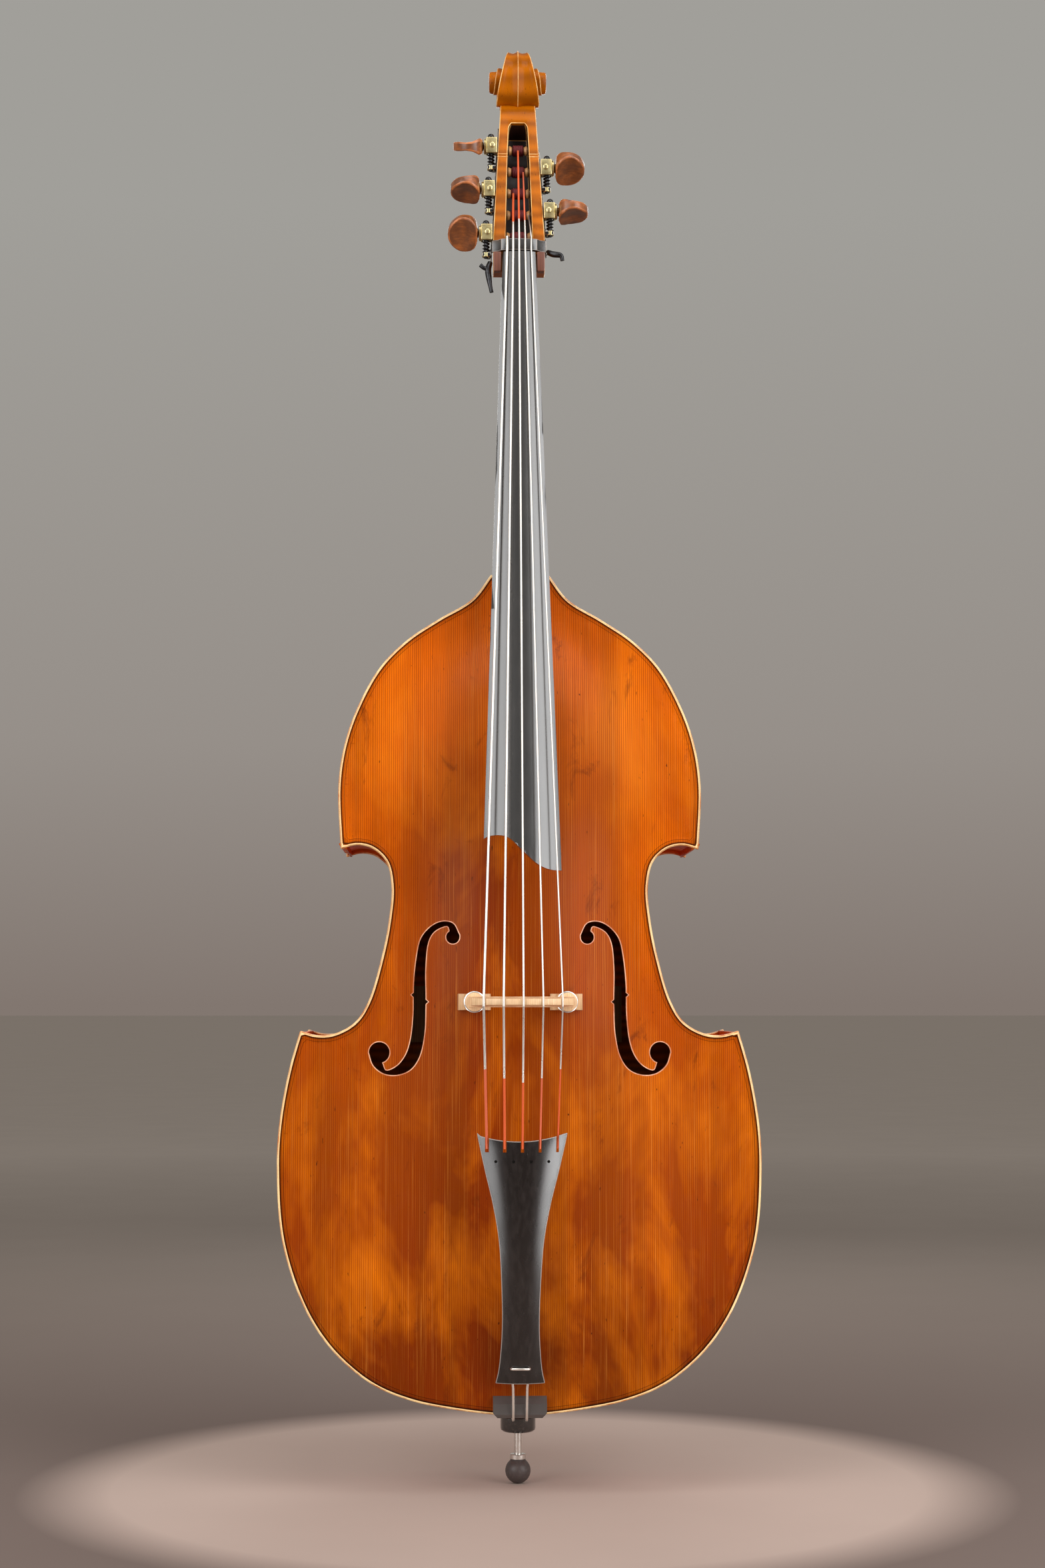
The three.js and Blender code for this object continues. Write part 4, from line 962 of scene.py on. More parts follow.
# Round the scroll, in degrees: how far out its ribbon is, and its half width
SCROLL_RADIUS = [
    (-110, 52), (-90, 50), (0, 49), (90, 47), (135, 43), (180, 39), (205, 41), (228, 43.5), (246, 44),
    (270, 38), (300, 31), (330, 28), (360, 27), (405, 25.5), (450, 24), (495, 22.5), (540, 21.5),
    (585, 20.5), (632, 19.5),
]
SCROLL_HALF = [
    (-110, 26), (-90, 22), (-45, 15), (0, 12), (60, 12.2), (90, 12.8), (120, 15.5), (150, 19.5), (180, 24),
    (210, 28), (240, 30.5), (270, 30), (315, 27.5), (360, 25.5), (405, 26), (450, 27.5), (495, 29.5),
    (540, 32), (585, 33.5), (632, 35),
]
SCROLL_END = 632


def read_off(stops, at):
    """The value at a place, on straight lines between the stops."""
    places, values = zip(*stops)
    return float(np.interp(at, places, values))


def scroll():
    """A fluted ribbon wound in a spiral, each turn standing further out to the sides."""
    rings = []
    for turn in range(-110, SCROLL_END, 7):
        outer, half = read_off(SCROLL_RADIUS, turn), read_off(SCROLL_HALF, turn)
        deep = 3.6 * ease(half, 8, 16)
        inner = max(outer - 21, 2.0)
        across = [-1, -0.97, -0.9, -0.78, -0.6, -0.42, -0.26, -0.12, -0.04]
        across = across + [0] + [-a for a in reversed(across)]
        section = [(-half, inner)]
        for a in across:
            flute = math.sin(math.pi * min(max((abs(a) - 0.04) / 0.88, 0), 1)) ** 0.8
            lip = 1.0 if abs(a) > 0.99 else 0
            section.append((a * half, outer - deep * flute - lip - 2.0 * abs(a) ** 4))
        section.append((half, inner))
        angle = math.radians(turn)
        rings.append([
            Vector((x, SCROLL_Y + r * math.cos(angle), SCROLL_Z + r * math.sin(angle))) for x, r in section
        ])
    bm = loft(bmesh.new(), rings)
    for side in (-1, 1):
        rows = []
        for r, x in ((16, 30), (15.6, 38.5), (14.6, 40.6), (12.4, 41.4)):
            turn = [math.tau * i / 40 for i in range(40)]
            rows.append([
                Vector((side * x, SCROLL_Y - 2 + r * math.cos(a), SCROLL_Z + r * math.sin(a))) for a in turn
            ])
        loft(bm, rows)
    mesh = mesh_of(bm, "scroll_maple", crease=38)
    piece(mesh, [HEAD_MAPLE], "instrument")
    for name, side, size in (("edge_L", -1, 0.9), ("edge_R", 1, 0.9), ("ridge", 0, 0.7)):
        line = []
        for turn in range(-94, SCROLL_END if side else 250, 6):
            r, half = read_off(SCROLL_RADIUS, turn), read_off(SCROLL_HALF, turn)
            r -= 2.6 if side else 0.1
            angle = math.radians(turn)
            y, z = SCROLL_Y + r * math.cos(angle), SCROLL_Z + r * math.sin(angle)
            line.append((side * (half - 0.3), y, z))
        mesh = wire_mesh(f"scroll_{name}", line, size, 8)
        piece(mesh, [HEAD_EDGE], "instrument")


# ---- Tuning machines, each shaped on the right and turned over for the left

def place_machine(number):
    side, z, turn = MACHINES[number]
    return side, z, turn, cheek_half(z) + MACHINE_OUT, head_front(z) + ROLLER_BACK


def machine_mesh(bm, side, y, z, name, crease=40):
    bmesh.ops.translate(bm, vec=(0, y, z), verts=bm.verts)
    bmesh.ops.scale(bm, vec=(side, 1, 1), verts=bm.verts)
    return mesh_of(bm, name, crease)


def machine_plate(side, low, high):
    """The long plate on one cheek, with a lug under each worm, its screws and its finial."""
    corners = [(low, 14), (high, 14), (high + 6, 22), (high, 34), (low, 34)]
    outline = [Vector((head_front(z) + depth, z)) for z, depth in corners]
    bm = slab(bmesh.new(), outline, 0.3, 2.3, along_x)
    soften(bm, 0.5, 2, 40, material=1)
    for v in bm.verts:
        v.co.x += cheek_half(v.co.z)
    for number, (own, z, _) in MACHINES.items():
        if own != side:
            continue
        out, y = cheek_half(z) + MACHINE_OUT, head_front(z) + 4
        ear = [(out - 7.6, y - 5), (out + 5, y - 5), (out + 5, y + 4), (out - 2, y + 13), (out - 7.6, y + 13)]
        lug = slab(bmesh.new(), ear, z - 34, z - 29, along_z)
        soften(lug, 0.7, 2, 40, material=1)
        gather(bm, lug)
        for at in (z - 20, z + 14):
            spot = (cheek_half(at) + 1.9, head_front(at) + 30, at)
            lathe(bm, [(0, 2.6), (1.6, 2.4), (2.8, 1.6), (3.2, 0.2)], spot, X, Y, 14)
    mesh = machine_mesh(bm, side, 0, 0, f"machine_plate_{hand(side)}_steel")
    piece(mesh, [STEEL, STEEL_EDGE], "instrument", [f"machine_plate_{hand(side)}"])
    plate_finial(side, low)


# From the plate's low end: out, forward and up
FINIALS = {
    -1: [(-2, 0, 3), (1, -4, -8), (-1, -7, -26), (-4, -8, -42)],
    1: [(-1, 0, 4), (7, -4, 0), (18, -7, -3), (20, -7, -10)],
}
FINIAL_STUB = [(2, -4, -8), (7, -5, -6), (12, -5, -2)]


def plate_finial(side, low):
    """A fork below the left plate, and a hook below the right one."""
    start = Vector((cheek_half(low) + 4, head_front(low) + ROLLER_BACK - 4, low))

    def wire_line(stops, steps):
        line = smooth_line([start + Vector(s) for s in stops], steps)
        return [Vector((side * p.x, p.y, p.z)) for p in line]

    line = wire_line(FINIALS[side], 6)
    last = len(line) - 1
    taper = [0.7 + 0.35 * math.sin(math.pi * min(i / last + 0.15, 1)) for i in range(last + 1)]
    mesh = wire_mesh(f"plate_finial_{hand(side)}", line, 4.2, 14, taper=taper)
    piece(mesh, [STEEL], "instrument")
    if side < 0:
        mesh = wire_mesh("plate_finial_stub_L", wire_line(FINIAL_STUB, 5), 3, 12)
        piece(mesh, [STEEL], "instrument")


def roller(number):
    """A toothed wheel on a wooden roller, with the string's end wound on it."""
    side, z, _, out, y = place_machine(number)
    teeth = []
    for i in range(TEETH):
        for r, share in ((11.7, -0.27), (15, -0.1), (15, 0.1), (11.7, 0.27)):
            angle = (i + share) * math.tau / TEETH
            teeth.append(Vector((-r * math.cos(angle), r * math.sin(angle))))
    bm = slab(bmesh.new(), teeth, out - 2.75, out + 2.75, along_x)
    soften(bm, 0.35, 1, 60)
    hub = [(0, out + 4.5), (3.6, out + 4.2), (4.6, out + 3), (4.8, out - 4)]
    lathe(bm, hub, ORIGIN, X, Y, 24)
    metal_faces = len(bm.faces)
    half = cheek_half(z)
    ends = [(0, -half + 1.6), (4.9, -half + 1.6), (4.9, out - 3), (0, out - 3)]
    lathe(bm, ends, ORIGIN, X, Y, 32)
    wood_faces = len(bm.faces)
    room = hollow_half(z) - 1.2
    wound = [(5, -room), (6.4, -room), (7.2, -room + 1.4), (5.4, -room + 5)]
    turns = 6
    for i in range(turns):
        x0 = -room * 0.55 + i * 1.1 * room / turns
        wound += [(7.6, x0 + 0.3), (8.3, x0 + 1.2), (7.6, x0 + 2.1)]
    wound += [(5.4, room - 5), (7.2, room - 1.4), (6.4, room), (5, room)]
    lathe(bm, wound, ORIGIN, X, Y, 32)
    bm.faces.ensure_lookup_table()
    for i, f in enumerate(bm.faces):
        x = abs(f.calc_center_median().x)
        if i >= wood_faces:
            f.material_index = 2 if x < room * 0.72 else 1
        elif i >= metal_faces:
            f.material_index = 1
    mesh = machine_mesh(bm, side, y, z, f"roller_{number}_turned", 35)
    finishes = [BRASS_DARK, ROLLER_WOOD, THREAD_RED]
    piece(mesh, finishes, f"tuning_roller_{number}", [f"roller_{number}"])


def worm(number):
    """A shaft with a screw thread wound on it, which turns the roller's wheel."""
    side, z, _, out, roller_y = place_machine(number)
    core = 4.4 - 1.3
    shaft = [
        (0, -36.4), (2.4, -36.4), (3, -35.8), (3, -29), (core, -28.6), (core, 5), (4.1, 5.9),
        (5.1, 7.8), (3, 7.9), (3, 12.2), (4.4, 12.2), (4.9, 13), (4.8, 15), (3.8, 17.3), (2, 18.5),
        (0, 18.8),
    ]
    bm = lathe(bmesh.new(), shaft, (out, 0, 0), Z, X, 28)
    ridge = [(core - 0.4, -1.5), (5.1, -0.5), (5.5, 0), (5.1, 0.5), (core - 0.4, 1.5)]
    verts, edges = draw(bm, [Vector((out + r, 0, -27 + h)) for r, h in ridge], closed=False)
    turns, steps = 6.4, 24
    bmesh.ops.spin(
        bm, geom=verts + edges, cent=(out, 0, 0), axis=Z, dvec=(0, 0, LEAD / steps),
        angle=math.tau * turns, steps=int(turns * steps), use_merge=False,
    )
    mesh = machine_mesh(bm, side, roller_y - WORM_AHEAD, z, f"worm_{number}_steel")
    piece(mesh, [STEEL, STEEL_EDGE], f"tuning_worm_{number}", [f"worm_{number}"])


def gear_housing(number):
    """A brass block round the worm, with a drum for the key's shaft on its outer side."""
    side, z, _, out, roller_y = place_machine(number)
    frame_plan = [(out - 9, -9.5), (out + 7, -9.5), (out + 7, 6), (out - 9, 6)]
    block = slab(bmesh.new(), frame_plan, -11.5, 11.5, along_z)
    soften(block, 1.0, 3, 40)
    tools = []
    for plan, low, high in (
        (arc(out, 0, 6.2, 0, 345, 23), -13, 8.5),
        (arc(out, 0, 3.3, 0, 337.5, 15), 8, 13),
        ([(out - 4, 1.5), (out + 4, 1.5), (out + 4, 12), (out - 4, 12)], -14, 14),
    ):
        tools.append(mesh_of(slab(bmesh.new(), plan, low, high, along_z), "housing_room"))
    bm = carve(mesh_of(block, "housing_block"), tools, "housing")
    drum = [
        (3.4, out + 5.6), (8, out + 5.6), (10.6, out + 6), (11.5, out + 6.6), (11.5, out + 7.4),
        (10.7, out + 7.7), (11.5, out + 8.1), (11.5, out + 9.3), (10.6, out + 10), (7, out + 10.4),
        (3.4, out + 10.3),
    ]
    lathe(bm, drum, ORIGIN, X, Y, 40)
    bush = [(3.2, -28.4), (5, -28.4), (5.4, -28.9), (5.4, -34.3), (5, -34.8), (3.2, -34.8)]
    lathe(bm, bush + bush[:1], (out, 0, 0), Z, X, 28)
    screw = [(4.1, -9), (4.1, -11), (3.6, -11.6), (2.2, -12), (0, -12.1)]
    lathe(bm, screw, (out - 2, 0, 0), Y, X, 24)
    mesh = machine_mesh(bm, side, roller_y - WORM_AHEAD, z, f"gear_housing_{number}_brass", 35)
    piece(mesh, [BRASS], "instrument", [f"gear_housing_{number}"])


# A key seen from the front, then its half thickness along it
KEY_FACE = [(0, 8), (2.5, 17), (11, 24.5), (24, 25.5), (35, 18), (41, 8), (42, 0)]
KEY_EDGE = [(0, 11.5), (5, 11.5), (15, 7), (25, 5.8), (34, 7), (42, 6.6)]


def key(number):
    """A wooden key, dished for finger and thumb, on its shaft."""
    side, z, turn, out, roller_y = place_machine(number)
    start = cheek_half(z) + 22.4
    half = smooth_line(KEY_FACE, 5)
    outline = half + [Vector((p.x, -p.y)) for p in reversed(half[:-1])]
    bm = slab(bmesh.new(), outline, -6, 6, along_y)
    soften(bm, 2.4, 4, 50, material=1)
    cut_across(bm, X, range(4, 42, 4))
    cut_across(bm, Z, range(-24, 25, 4))
    for v in bm.verts:
        x, y, up = v.co
        dish = 1 - 0.3 * math.exp(-((x - 24) ** 2 + up ** 2) / 170)
        v.co.y = y / 6 * read_off(KEY_EDGE, x) * dish
    bmesh.ops.translate(bm, vec=(start, 0, 0), verts=bm.verts)
    wood = len(bm.faces)
    shaft = [
        (0, out + 6.4), (5.2, out + 6.4), (5.6, out + 7), (7, out + 7.7), (3, out + 7.9), (3, out + 10.5),
        (5.6, out + 10.5), (6.5, out + 11.2), (6.5, start + 1), (5.8, start + 2), (5.8, start + 3),
        (0, start + 3),
    ]
    lathe(bm, shaft, ORIGIN, X, Y, 28)
    bm.faces.ensure_lookup_table()
    for i, f in enumerate(bm.faces):
        if i >= wood:
            f.material_index = 2
    spin = Matrix.Rotation(math.radians(turn), 3, "X")
    bmesh.ops.rotate(bm, cent=(0, 0, 0), matrix=spin, verts=bm.verts)
    mesh = machine_mesh(bm, side, roller_y - WORM_AHEAD, z, f"key_{number}_wood", 50)
    piece(mesh, [KEY, KEY_RIM, BRASS_DARK], f"tuning_key_{number}", [f"key_{number}"])


# ---- Bridge, with a wheel under each end of its crown

CROWN_SIDE = [
    (73, -155.3), (71, -172), (68, -188), (58, -204), (57, -222), (66, -238), (66, -254), (58, -265.5),
]
CROWN_ARCH = [(-50, -155.3), (-46, -170), (-30, -184), (0, -190), (30, -184), (46, -170), (50, -155.3)]
HEART = [(0, -236), (10, -229), (9, -216), (0, -206), (-9, -216), (-10, -229), (-4, -235)]
KIDNEY = [(30, -236), (46, -230), (44, -216), (34, -206), (24, -214), (22, -228)]


def upright(u, v, height):
    return Vector((u, v, CROWN_Z + height))


def bridge_crown():
    """The upper part of the bridge, with its heart and kidney holes, thinner towards the strings."""
    side = smooth_line(CROWN_SIDE, 5)
    spread = [58 * (1 - i / 12) for i in range(1, 24)]
    crest = [Vector((x, crown_front(x))) for x in spread]
    mirror = [Vector((-p.x, p.y)) for p in reversed(side)]
    outline = side + crest + mirror + smooth_line(CROWN_ARCH, 5)
    block = mesh_of(slab(bmesh.new(), outline, -7, 7, upright), "crown_block")
    heart, kidney = [smooth_line(stops + stops[:1], 6)[:-1] for stops in (HEART, KIDNEY)]
    holes = [heart, kidney, [Vector((-p.x, p.y)) for p in kidney]]
    tools = [mesh_of(slab(bmesh.new(), h, -10, 10, upright), "crown_hole") for h in holes]
    bm = carve(block, tools, "crown")
    for v in bm.verts:
        thin = 1 - 0.45 * ease(-v.co.y, 200, 290)
        v.co.z = CROWN_Z + (v.co.z - CROWN_Z) * thin
    for f in bm.faces:
        if f.calc_center_median().y > -172:
            f.material_index = 1
    soften(bm, 0.7, 2, 60)
    pad = [
        (0, -176.5), (10.8, -176.5), (12.2, -175.6), (12.6, -174), (12.6, -156.4), (11.8, -155.4),
        (0, -155.4),
    ]
    for side in (-1, 1):
        lathe(bm, pad, (side * FOOT_X, 0, CROWN_Z), Y, X, 40)
    mesh = mesh_of(bm, "bridge_crown_maple")
    piece(mesh, [BRIDGE_WOOD, BRIDGE_LOW], "bridge", ["bridge_crown"])


# A foot's half sizes at each depth; the last one lies on the arched top
FOOT_RINGS = [
    (11, 9, -146.3), (12, 10, -145.2), (12, 10, -138), (14, 10.6, -133), (21, 11, -130), (22.4, 11, None),
]
FOOT_PLAN = [
    (-1, -1), (-0.5, -1), (0, -1), (0.5, -1), (1, -1), (1, 0), (1, 1), (0.5, 1), (0, 1), (-0.5, 1),
    (-1, 1), (-1, 0),
]


def bridge_foot(side):
    """A leg that stands on the arched top, under one of the wheels."""
    letter = hand(side)
    rings = []
    for half_x, half_z, y in FOOT_RINGS:
        ring = []
        for x, z in FOOT_PLAN:
            at_x, at_z = FOOT_X + x * half_x, CROWN_Z + z * half_z
            sole = -PLATE_Y - top_height(at_x, at_z) - 0.2
            here = sole if y is None else min(y, sole - 2 - 2 * (1 - abs(x)))
            ring.append(Vector((side * at_x, here, at_z)))
        rings.append(ring)
    bm = loft(bmesh.new(), rings)
    soften(bm, 0.6, 2, 45)
    mesh = mesh_of(bm, f"bridge_foot_{letter}_maple")
    piece(mesh, [BRIDGE_LOW], "instrument", [f"bridge_foot_{letter}"])


def adjuster(side):
    """A grooved wheel on a stud, between a foot and the crown."""
    letter = hand(side)
    wheel = [
        (0, -155), (12.6, -155), (13.8, -154.7), (14.4, -154.1), (14.4, -153.2), (13.9, -152.9),
        (14.4, -152.5), (14.4, -150.9), (13.8, -150.3), (12.6, -150), (3, -150), (3, -140.4), (0, -140),
    ]
    bm = lathe(bmesh.new(), wheel, (side * FOOT_X, 0, CROWN_Z), Y, X, 48)
    stud = [(3, -155), (3, -175.4), (0, -176)]
    lathe(bm, stud, (side * FOOT_X, 0, CROWN_Z), Y, X, 20)
    mesh = mesh_of(bm, f"adjuster_{letter}_turned", 35)
    piece(mesh, [ALUMINIUM], f"bridge_wheel_{letter}", [f"adjuster_{letter}"])


# ---- Tailpiece, saddle and tail wire

TAIL_HALF = [(33, 47), (29, 66), (25, 120), (26, 180), (30, 241), (38, 288), (48, 330), (59, 380)]
TAIL_TOP, TAIL_TOP_HALF = 380, 59
TAIL_DIP_RADIUS = 190  # its upper edge is hollow
TAIL_CROWN = 0.32  # how round its front is across
SLOT_FROM = 357
DOT_Z, DOTS = 345, (-34.5, -11.5, 11.5, 34.5)


def tailpiece():
    """A waisted board with a round front, a slot for each string and four small blind holes."""
    right = smooth_line(TAIL_HALF, 5)
    dip = []
    for i in range(1, 24):
        x = TAIL_TOP_HALF * (1 - i / 12)
        sag = TAIL_DIP_RADIUS - 8.5 - math.sqrt(TAIL_DIP_RADIUS ** 2 - (x + 5) ** 2)
        dip.append(Vector((x, TAIL_TOP + sag)))
    right[-1].y = dip[0].y + 1.2
    left = [Vector((-p.x, p.y)) for p in reversed(right)]
    bm = slab(bmesh.new(), right + dip + left, 0, 9, along_y)
    soften(bm, 1.0, 3, 50, material=1)
    cut_across(bm, X, range(-56, 57, 4))
    cut_across(bm, Z, range(60, 372, 12))
    for v in bm.verts:
        x, depth, z = v.co
        half = read_off([(at, w) for w, at in TAIL_HALF], z)
        thick = depth * (0.55 + 0.45 * (1 - abs(x) / 60))
        v.co.y = pull_line(z) - 7 + TAIL_CROWN * x * x / half + thick
    block = mesh_of(bm, "tail_block")
    tools = []
    for x, r in zip(STRING_X_AT_SLOT, STRING_RADIUS):
        w = r + 0.7
        plan = [(x - w, SLOT_FROM), (x + w, SLOT_FROM), (x + w, 400), (x - w, 400)]
        tools.append(mesh_of(slab(bmesh.new(), plan, -300, -150, along_y), "string_slot"))
    holes = [(x, DOT_Z, 2, -2.5) for x in DOTS] + [(s * HANGER_X, HANGER_Z, 2.4, 20) for s in (-1, 1)]
    for x, z, r, deep in holes:
        bottom = pull_line(z) + deep + TAIL_CROWN * x * x / 50
        hole = slab(bmesh.new(), arc(x, z, r, 0, 345, 15), -300, bottom, along_y)
        tools.append(mesh_of(hole, "tail_hole"))
    bm = carve(block, tools, "tail")
    mesh = mesh_of(bm, "tailpiece_ebony")
    piece(mesh, [TAIL_EBONY, EBONY_EDGE_HIGHLIGHT], "instrument", ["tailpiece"])


SADDLE_SEAT = -94.3
SADDLE_LIP = [(-2, -108), (4, -116), (18, -116), (27, -104), (30, SADDLE_SEAT)]


def saddle():
    """A ledge on the body's lower edge, which holds the tail wire off it."""
    front = [(-36, 27), (-36, 6), (-30, -1), (30, -1), (36, 6), (36, 27)]
    bm = slab(bmesh.new(), front, 0, 1, along_y)
    soften(bm, 0.04, 2, 40)
    cut_across(bm, Z, [4, 11, 18, 24])
    for v in bm.verts:
        reach = read_off(SADDLE_LIP, v.co.z) - SADDLE_SEAT
        shoulder = 3.5 * ease(abs(v.co.x), 30, 36)
        v.co.y = SADDLE_SEAT + (reach + shoulder) * (1 - v.co.y)
    mesh = mesh_of(bm, "saddle_ebony")
    piece(mesh, [SADDLE_EBONY], "instrument", ["saddle"])


def tail_wire():
    """One closed loop: round the endpin's socket, over the saddle and through the tailpiece."""
    r = 1.75
    front = pull_line(HANGER_Z) - 7 - r - 0.8
    under = pull_line(60) + 6
    up = [
        (9, -90, -4.2), (9, -106, -4.2), (9, -113.6, 0.6), (9, -117.2, 13), (9.4, -121, 40),
        (HANGER_X, under, 62), (HANGER_X, under - 1, HANGER_Z - 1.5), (HANGER_X, under - 3.5, HANGER_Z),
        (HANGER_X, front + 1.5, HANGER_Z), (HANGER_X - 1.5, front, HANGER_Z),
    ]
    turns = [math.pi * i / 16 for i in range(17)]
    loop = [(19.4 * math.cos(a), 19.4 * math.sin(a), -4) for a in turns]
    left = [(-x, y, z) for x, y, z in up]
    mesh = wire_mesh("tail_wire_steel", loop + left + up[::-1], r, 12, closed=True)
    piece(mesh, [WOUND], "instrument", ["tail_wire"])


# ---- Endpin, each part a profile of (radius, height)

SOCKET = [
    (5.2, 60), (14.6, 60), (16, 0.2), (17, 0), (17, -6.4), (20, -6.5), (22.5, -7), (23.8, -8.2),
    (24.3, -10), (24.3, -14), (23.7, -14.8), (24.3, -15.6), (24.3, -30), (23.6, -33), (21, -35),
    (8, -35), (5.4, -34), (5.2, -30),
]
ROD = [
    (0, 250), (4.4, 249.6), (5, 249), (5, -66), (10.2, -66), (10.8, -66.6), (10.8, -72.4),
    (10.2, -73), (0, -73),
]
BALL_RADIUS, BALL_Z, BALL_TOP = 17.4, -88.4, -73.3
SCREW = [
    (0, 5.8), (2.6, 5.8), (3, 6.4), (3, 26), (6, 26), (6, 29), (9, 30), (9, 37), (7, 38.5), (0, 38.5),
]
SCREW_Z = -22


def endpin():
    """The socket, the rod that slides in it, the rubber ball, and the screw that clamps the rod."""
    mesh = mesh_of(lathe(bmesh.new(), SOCKET, ORIGIN, Z, X, 64), "endpin_socket_gloss", 30)
    piece(mesh, [GLOSS], "instrument", ["endpin_socket"])
    mesh = mesh_of(lathe(bmesh.new(), ROD, ORIGIN, Z, X, 40), "endpin_rod_turned", 30)
    piece(mesh, [ALUMINIUM], "endpin", ["endpin_rod"])
    ball = [(0, BALL_TOP), (10.4, BALL_TOP), (10.7, BALL_TOP - 1)]
    for a in np.linspace(0.92, -math.pi / 2, 22):
        ball.append((BALL_RADIUS * math.cos(a), BALL_Z + BALL_RADIUS * math.sin(a)))
    mesh = mesh_of(lathe(bmesh.new(), ball, ORIGIN, Z, X, 48), "endpin_ball_rubber", 50)
    piece(mesh, [RUBBER], "endpin", ["endpin_ball"])
    mesh = mesh_of(lathe(bmesh.new(), SCREW, Z * SCREW_Z, Y, X, 40), "endpin_screw_turned", 30)
    piece(mesh, [ALUMINIUM], "endpin_clamp", ["endpin_screw"])


# ---- Strings

# How far up from the tailpiece the thread goes, and its colour; in the pegbox it starts above the nut
SILK_TOP = [462, 452, 446, 456, 470]
SILK = [THREAD_SALMON, THREAD_ORANGE, THREAD_ORANGE, THREAD_SALMON, THREAD_ORANGE]
SILK_ABOVE_NUT = 1660


def string_path(i):
    """A string's stops from the tailpiece to the crown, and on over the nut to its roller."""
    r = STRING_RADIUS[i]
    _, z, _, _, roller_y = place_machine(ROLLER_OF_STRING[i])
    x = STRING_X_AT_CROWN[i]
    y = crown_front(x) - 1.2 * r - 0.3
    nut_x = STRING_X_AT_NUT[i]
    nut_y = NUT_Y + 1.4 * (nut_x / 17) ** 2 - 1.2 * r - 0.6
    slot_x = STRING_X_AT_SLOT[i]
    slot_z = SLOT_FROM + 5
    slot_y = pull_line(slot_z) - 6 + TAIL_CROWN * slot_x ** 2 / 54
    tail = [(slot_x, slot_y, slot_z), (x, y, CROWN_Z - 6)]
    upper = [
        (x, y, CROWN_Z - 6), (x, y, CROWN_Z + 6), (nut_x, nut_y, NUT_LOW), (nut_x, nut_y, NUT_HIGH + 1.2),
        (nut_x * 0.85, roller_y - 8 - r, z - 3),
    ]
    return tail, upper


def spaced(stops, longest):
    """Extra points on straight stretches, so that the line can bend."""
    line = [Vector(stops[0])]
    for a, b in zip(stops, stops[1:]):
        a, b = Vector(a), Vector(b)
        count = max(1, math.ceil((b - a).length / longest))
        line += [a + (b - a) * k / count for k in range(1, count + 1)]
    return line


def strings():
    """Each string is two pieces that meet on the crown."""
    for i, r in enumerate(STRING_RADIUS):
        tail, upper = string_path(i)
        for part, stops, longest in (("tail", tail, 12), ("upper", upper, 40)):
            mesh = wire_mesh(f"string_{i + 1}_{part}", spaced(stops, longest), r, 12)
            obj = piece(mesh, [WOUND, SILK[i]], None, [f"string_{i + 1}"])
            for f in mesh.polygons:
                z = f.center.z / MM
                threaded = z < SILK_TOP[i] if part == "tail" else z > SILK_ABOVE_NUT
                f.material_index = int(threaded)
            ends = (tail[0], tail[1]) if part == "tail" else (upper[2], upper[1])
            start, end = (tuple(c * MM for c in p) for p in ends)
            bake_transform(obj)
            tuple(start)
            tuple(end)


top_plate()
back_plate()
ribs()
inner_woodwork()
fingerboard()
neck()
nut()
pegbox()
collar()
cheek_ends()
scroll()
machine_plate(-1, 1590, 1806)
machine_plate(1, 1606, 1772)
for machine in MACHINES:
    roller(machine)
    worm(machine)
    gear_housing(machine)
    key(machine)
bridge_crown()
for half in (-1, 1):
    bridge_foot(half)
    adjuster(half)
tailpiece()
saddle()
tail_wire()
endpin()
strings()


# ---- Camera, lights, floor and air, in metres

CAMERA_PLACE = (-0.09, -3.6, 0.5485)
CAMERA_TARGET = (0.0036, -0.1, 0.8485)
BODY_MIDDLE = (0, 0, 0.9)
FLOOR_Z = cad_box[0][2]


def look_at(obj, target):
    obj.rotation_euler = (Vector(target) - obj.location).to_track_quat("-Z", "Y").to_euler()


def softbox(name, place, target, width, height, power):
    """A rectangular lamp that faces a target, and is not seen itself."""
    lamp = bpy.data.lights.new(name, "AREA")
    lamp.shape = "RECTANGLE"
    lamp.size, lamp.size_y = width, height
    lamp.energy = power
    obj = bpy.data.objects.new(name, lamp)
    scene.collection.objects.link(obj)
    obj.location = place
    look_at(obj, target)
    obj.visible_camera = False
    return lamp


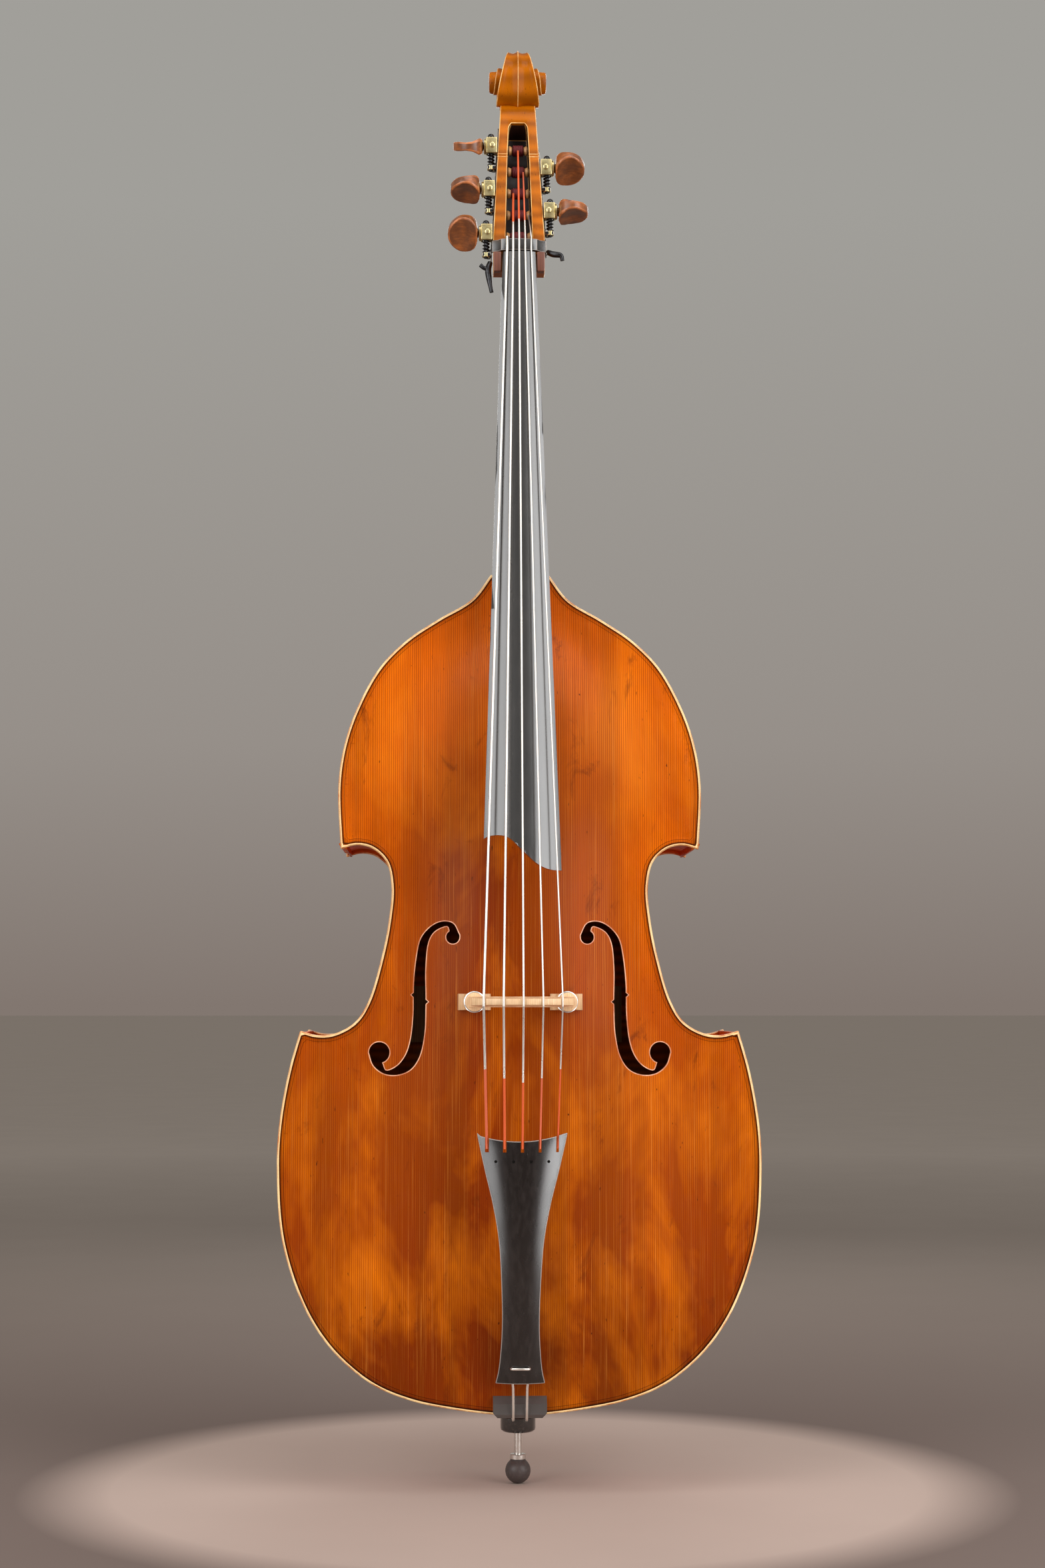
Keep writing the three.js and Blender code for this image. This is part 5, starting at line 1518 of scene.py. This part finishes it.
def lights():
    """A tall softbox on each side, and weaker light from above, below and behind."""
    softbox("left_light", (-2.25, -2.1, 1.9), BODY_MIDDLE, 2.3, 3.8, 84)
    softbox("right_light", (2.25, -2.1, 1.9), BODY_MIDDLE, 2.3, 3.8, 104)
    softbox("top_light", (0.2, -0.9, 3.4), (0, 0, 1.0), 1.6, 1.0, 16)
    for side in (-1, 1):
        name, place, power = f"low_light_{hand(side)}", (side * 0.52, -0.42, -0.09), 0.5 + 0.12 * side
        lamp = softbox(name, place, (0, -0.17, 0.22), 0.34, 0.5, power)
        lamp.spread = math.radians(60)
    softbox("back_light", (0.4, 2.6, 2.4), BODY_MIDDLE, 2.0, 1.6, 30)


def floor_paint():
    """A pale round of floor under the instrument, a painted pool of light, then a darker ring of painted
    shade that pales with distance.
    """
    r = Recipe("floor_paint", Roughness=0.9, Specular_IOR_Level=0.1)
    away = r.add("VectorMath", {0: r.place()}, 1, operation="LENGTH")
    # The pale round is a painted pool of light; the darker ring beyond it is painted shade
    tone = r.ramp(
        r.reckon("DIVIDE", away, 8),
        (0.0, paint(184, 164, 154)), (0.07, paint(182, 162, 152)), (0.085, paint(112, 98, 92)),
        (0.35, paint(140, 128, 120)), (1.0, paint(196, 184, 176)),
    )
    clouds = r.reckon("MULTIPLY", r.noise((4, 4, 4), 3), 0.1)
    r.set("Base Color", r.mix(clouds, tone, paint(98, 86, 80)))
    return r.material


def floor():
    bm = bmesh.new()
    level = Matrix.Translation(Z * FLOOR_Z)
    bmesh.ops.create_grid(bm, x_segments=1, y_segments=1, size=150, matrix=level)
    obj = bpy.data.objects.new("floor", bpy.data.meshes.new("floor"))
    bm.to_mesh(obj.data)
    bm.free()
    obj.data.materials.append(floor_paint())
    scene.collection.objects.link(obj)


def air():
    """Grey air, browner towards the floor."""
    scene.world = bpy.data.worlds.new("room")
    scene.world.use_nodes = True
    room = scene.world.node_tree
    way = room.nodes.new("ShaderNodeTexCoord")
    parts = room.nodes.new("ShaderNodeSeparateXYZ")
    shade = room.nodes.new("ShaderNodeValToRGB")
    room.links.new(way.outputs["Generated"], parts.inputs[0])
    room.links.new(parts.outputs["Z"], shade.inputs[0])
    room.links.new(shade.outputs[0], room.nodes["Background"].inputs["Color"])
    low, high = shade.color_ramp.elements
    low.position, low.color = 0.0, paint(130, 119, 112)
    high.position, high.color = 0.3, paint(161, 159, 154)
    shade.color_ramp.elements.new(0.1).color = paint(150, 143, 137)


camera = bpy.data.objects.new("camera", bpy.data.cameras.new("camera"))
scene.collection.objects.link(camera)
camera.location = CAMERA_PLACE
look_at(camera, CAMERA_TARGET)
camera.data.lens = 59.1
camera.data.sensor_width = 36
scene.camera = camera
lights()
floor()
air()
scene.view_settings.view_transform = "Standard"
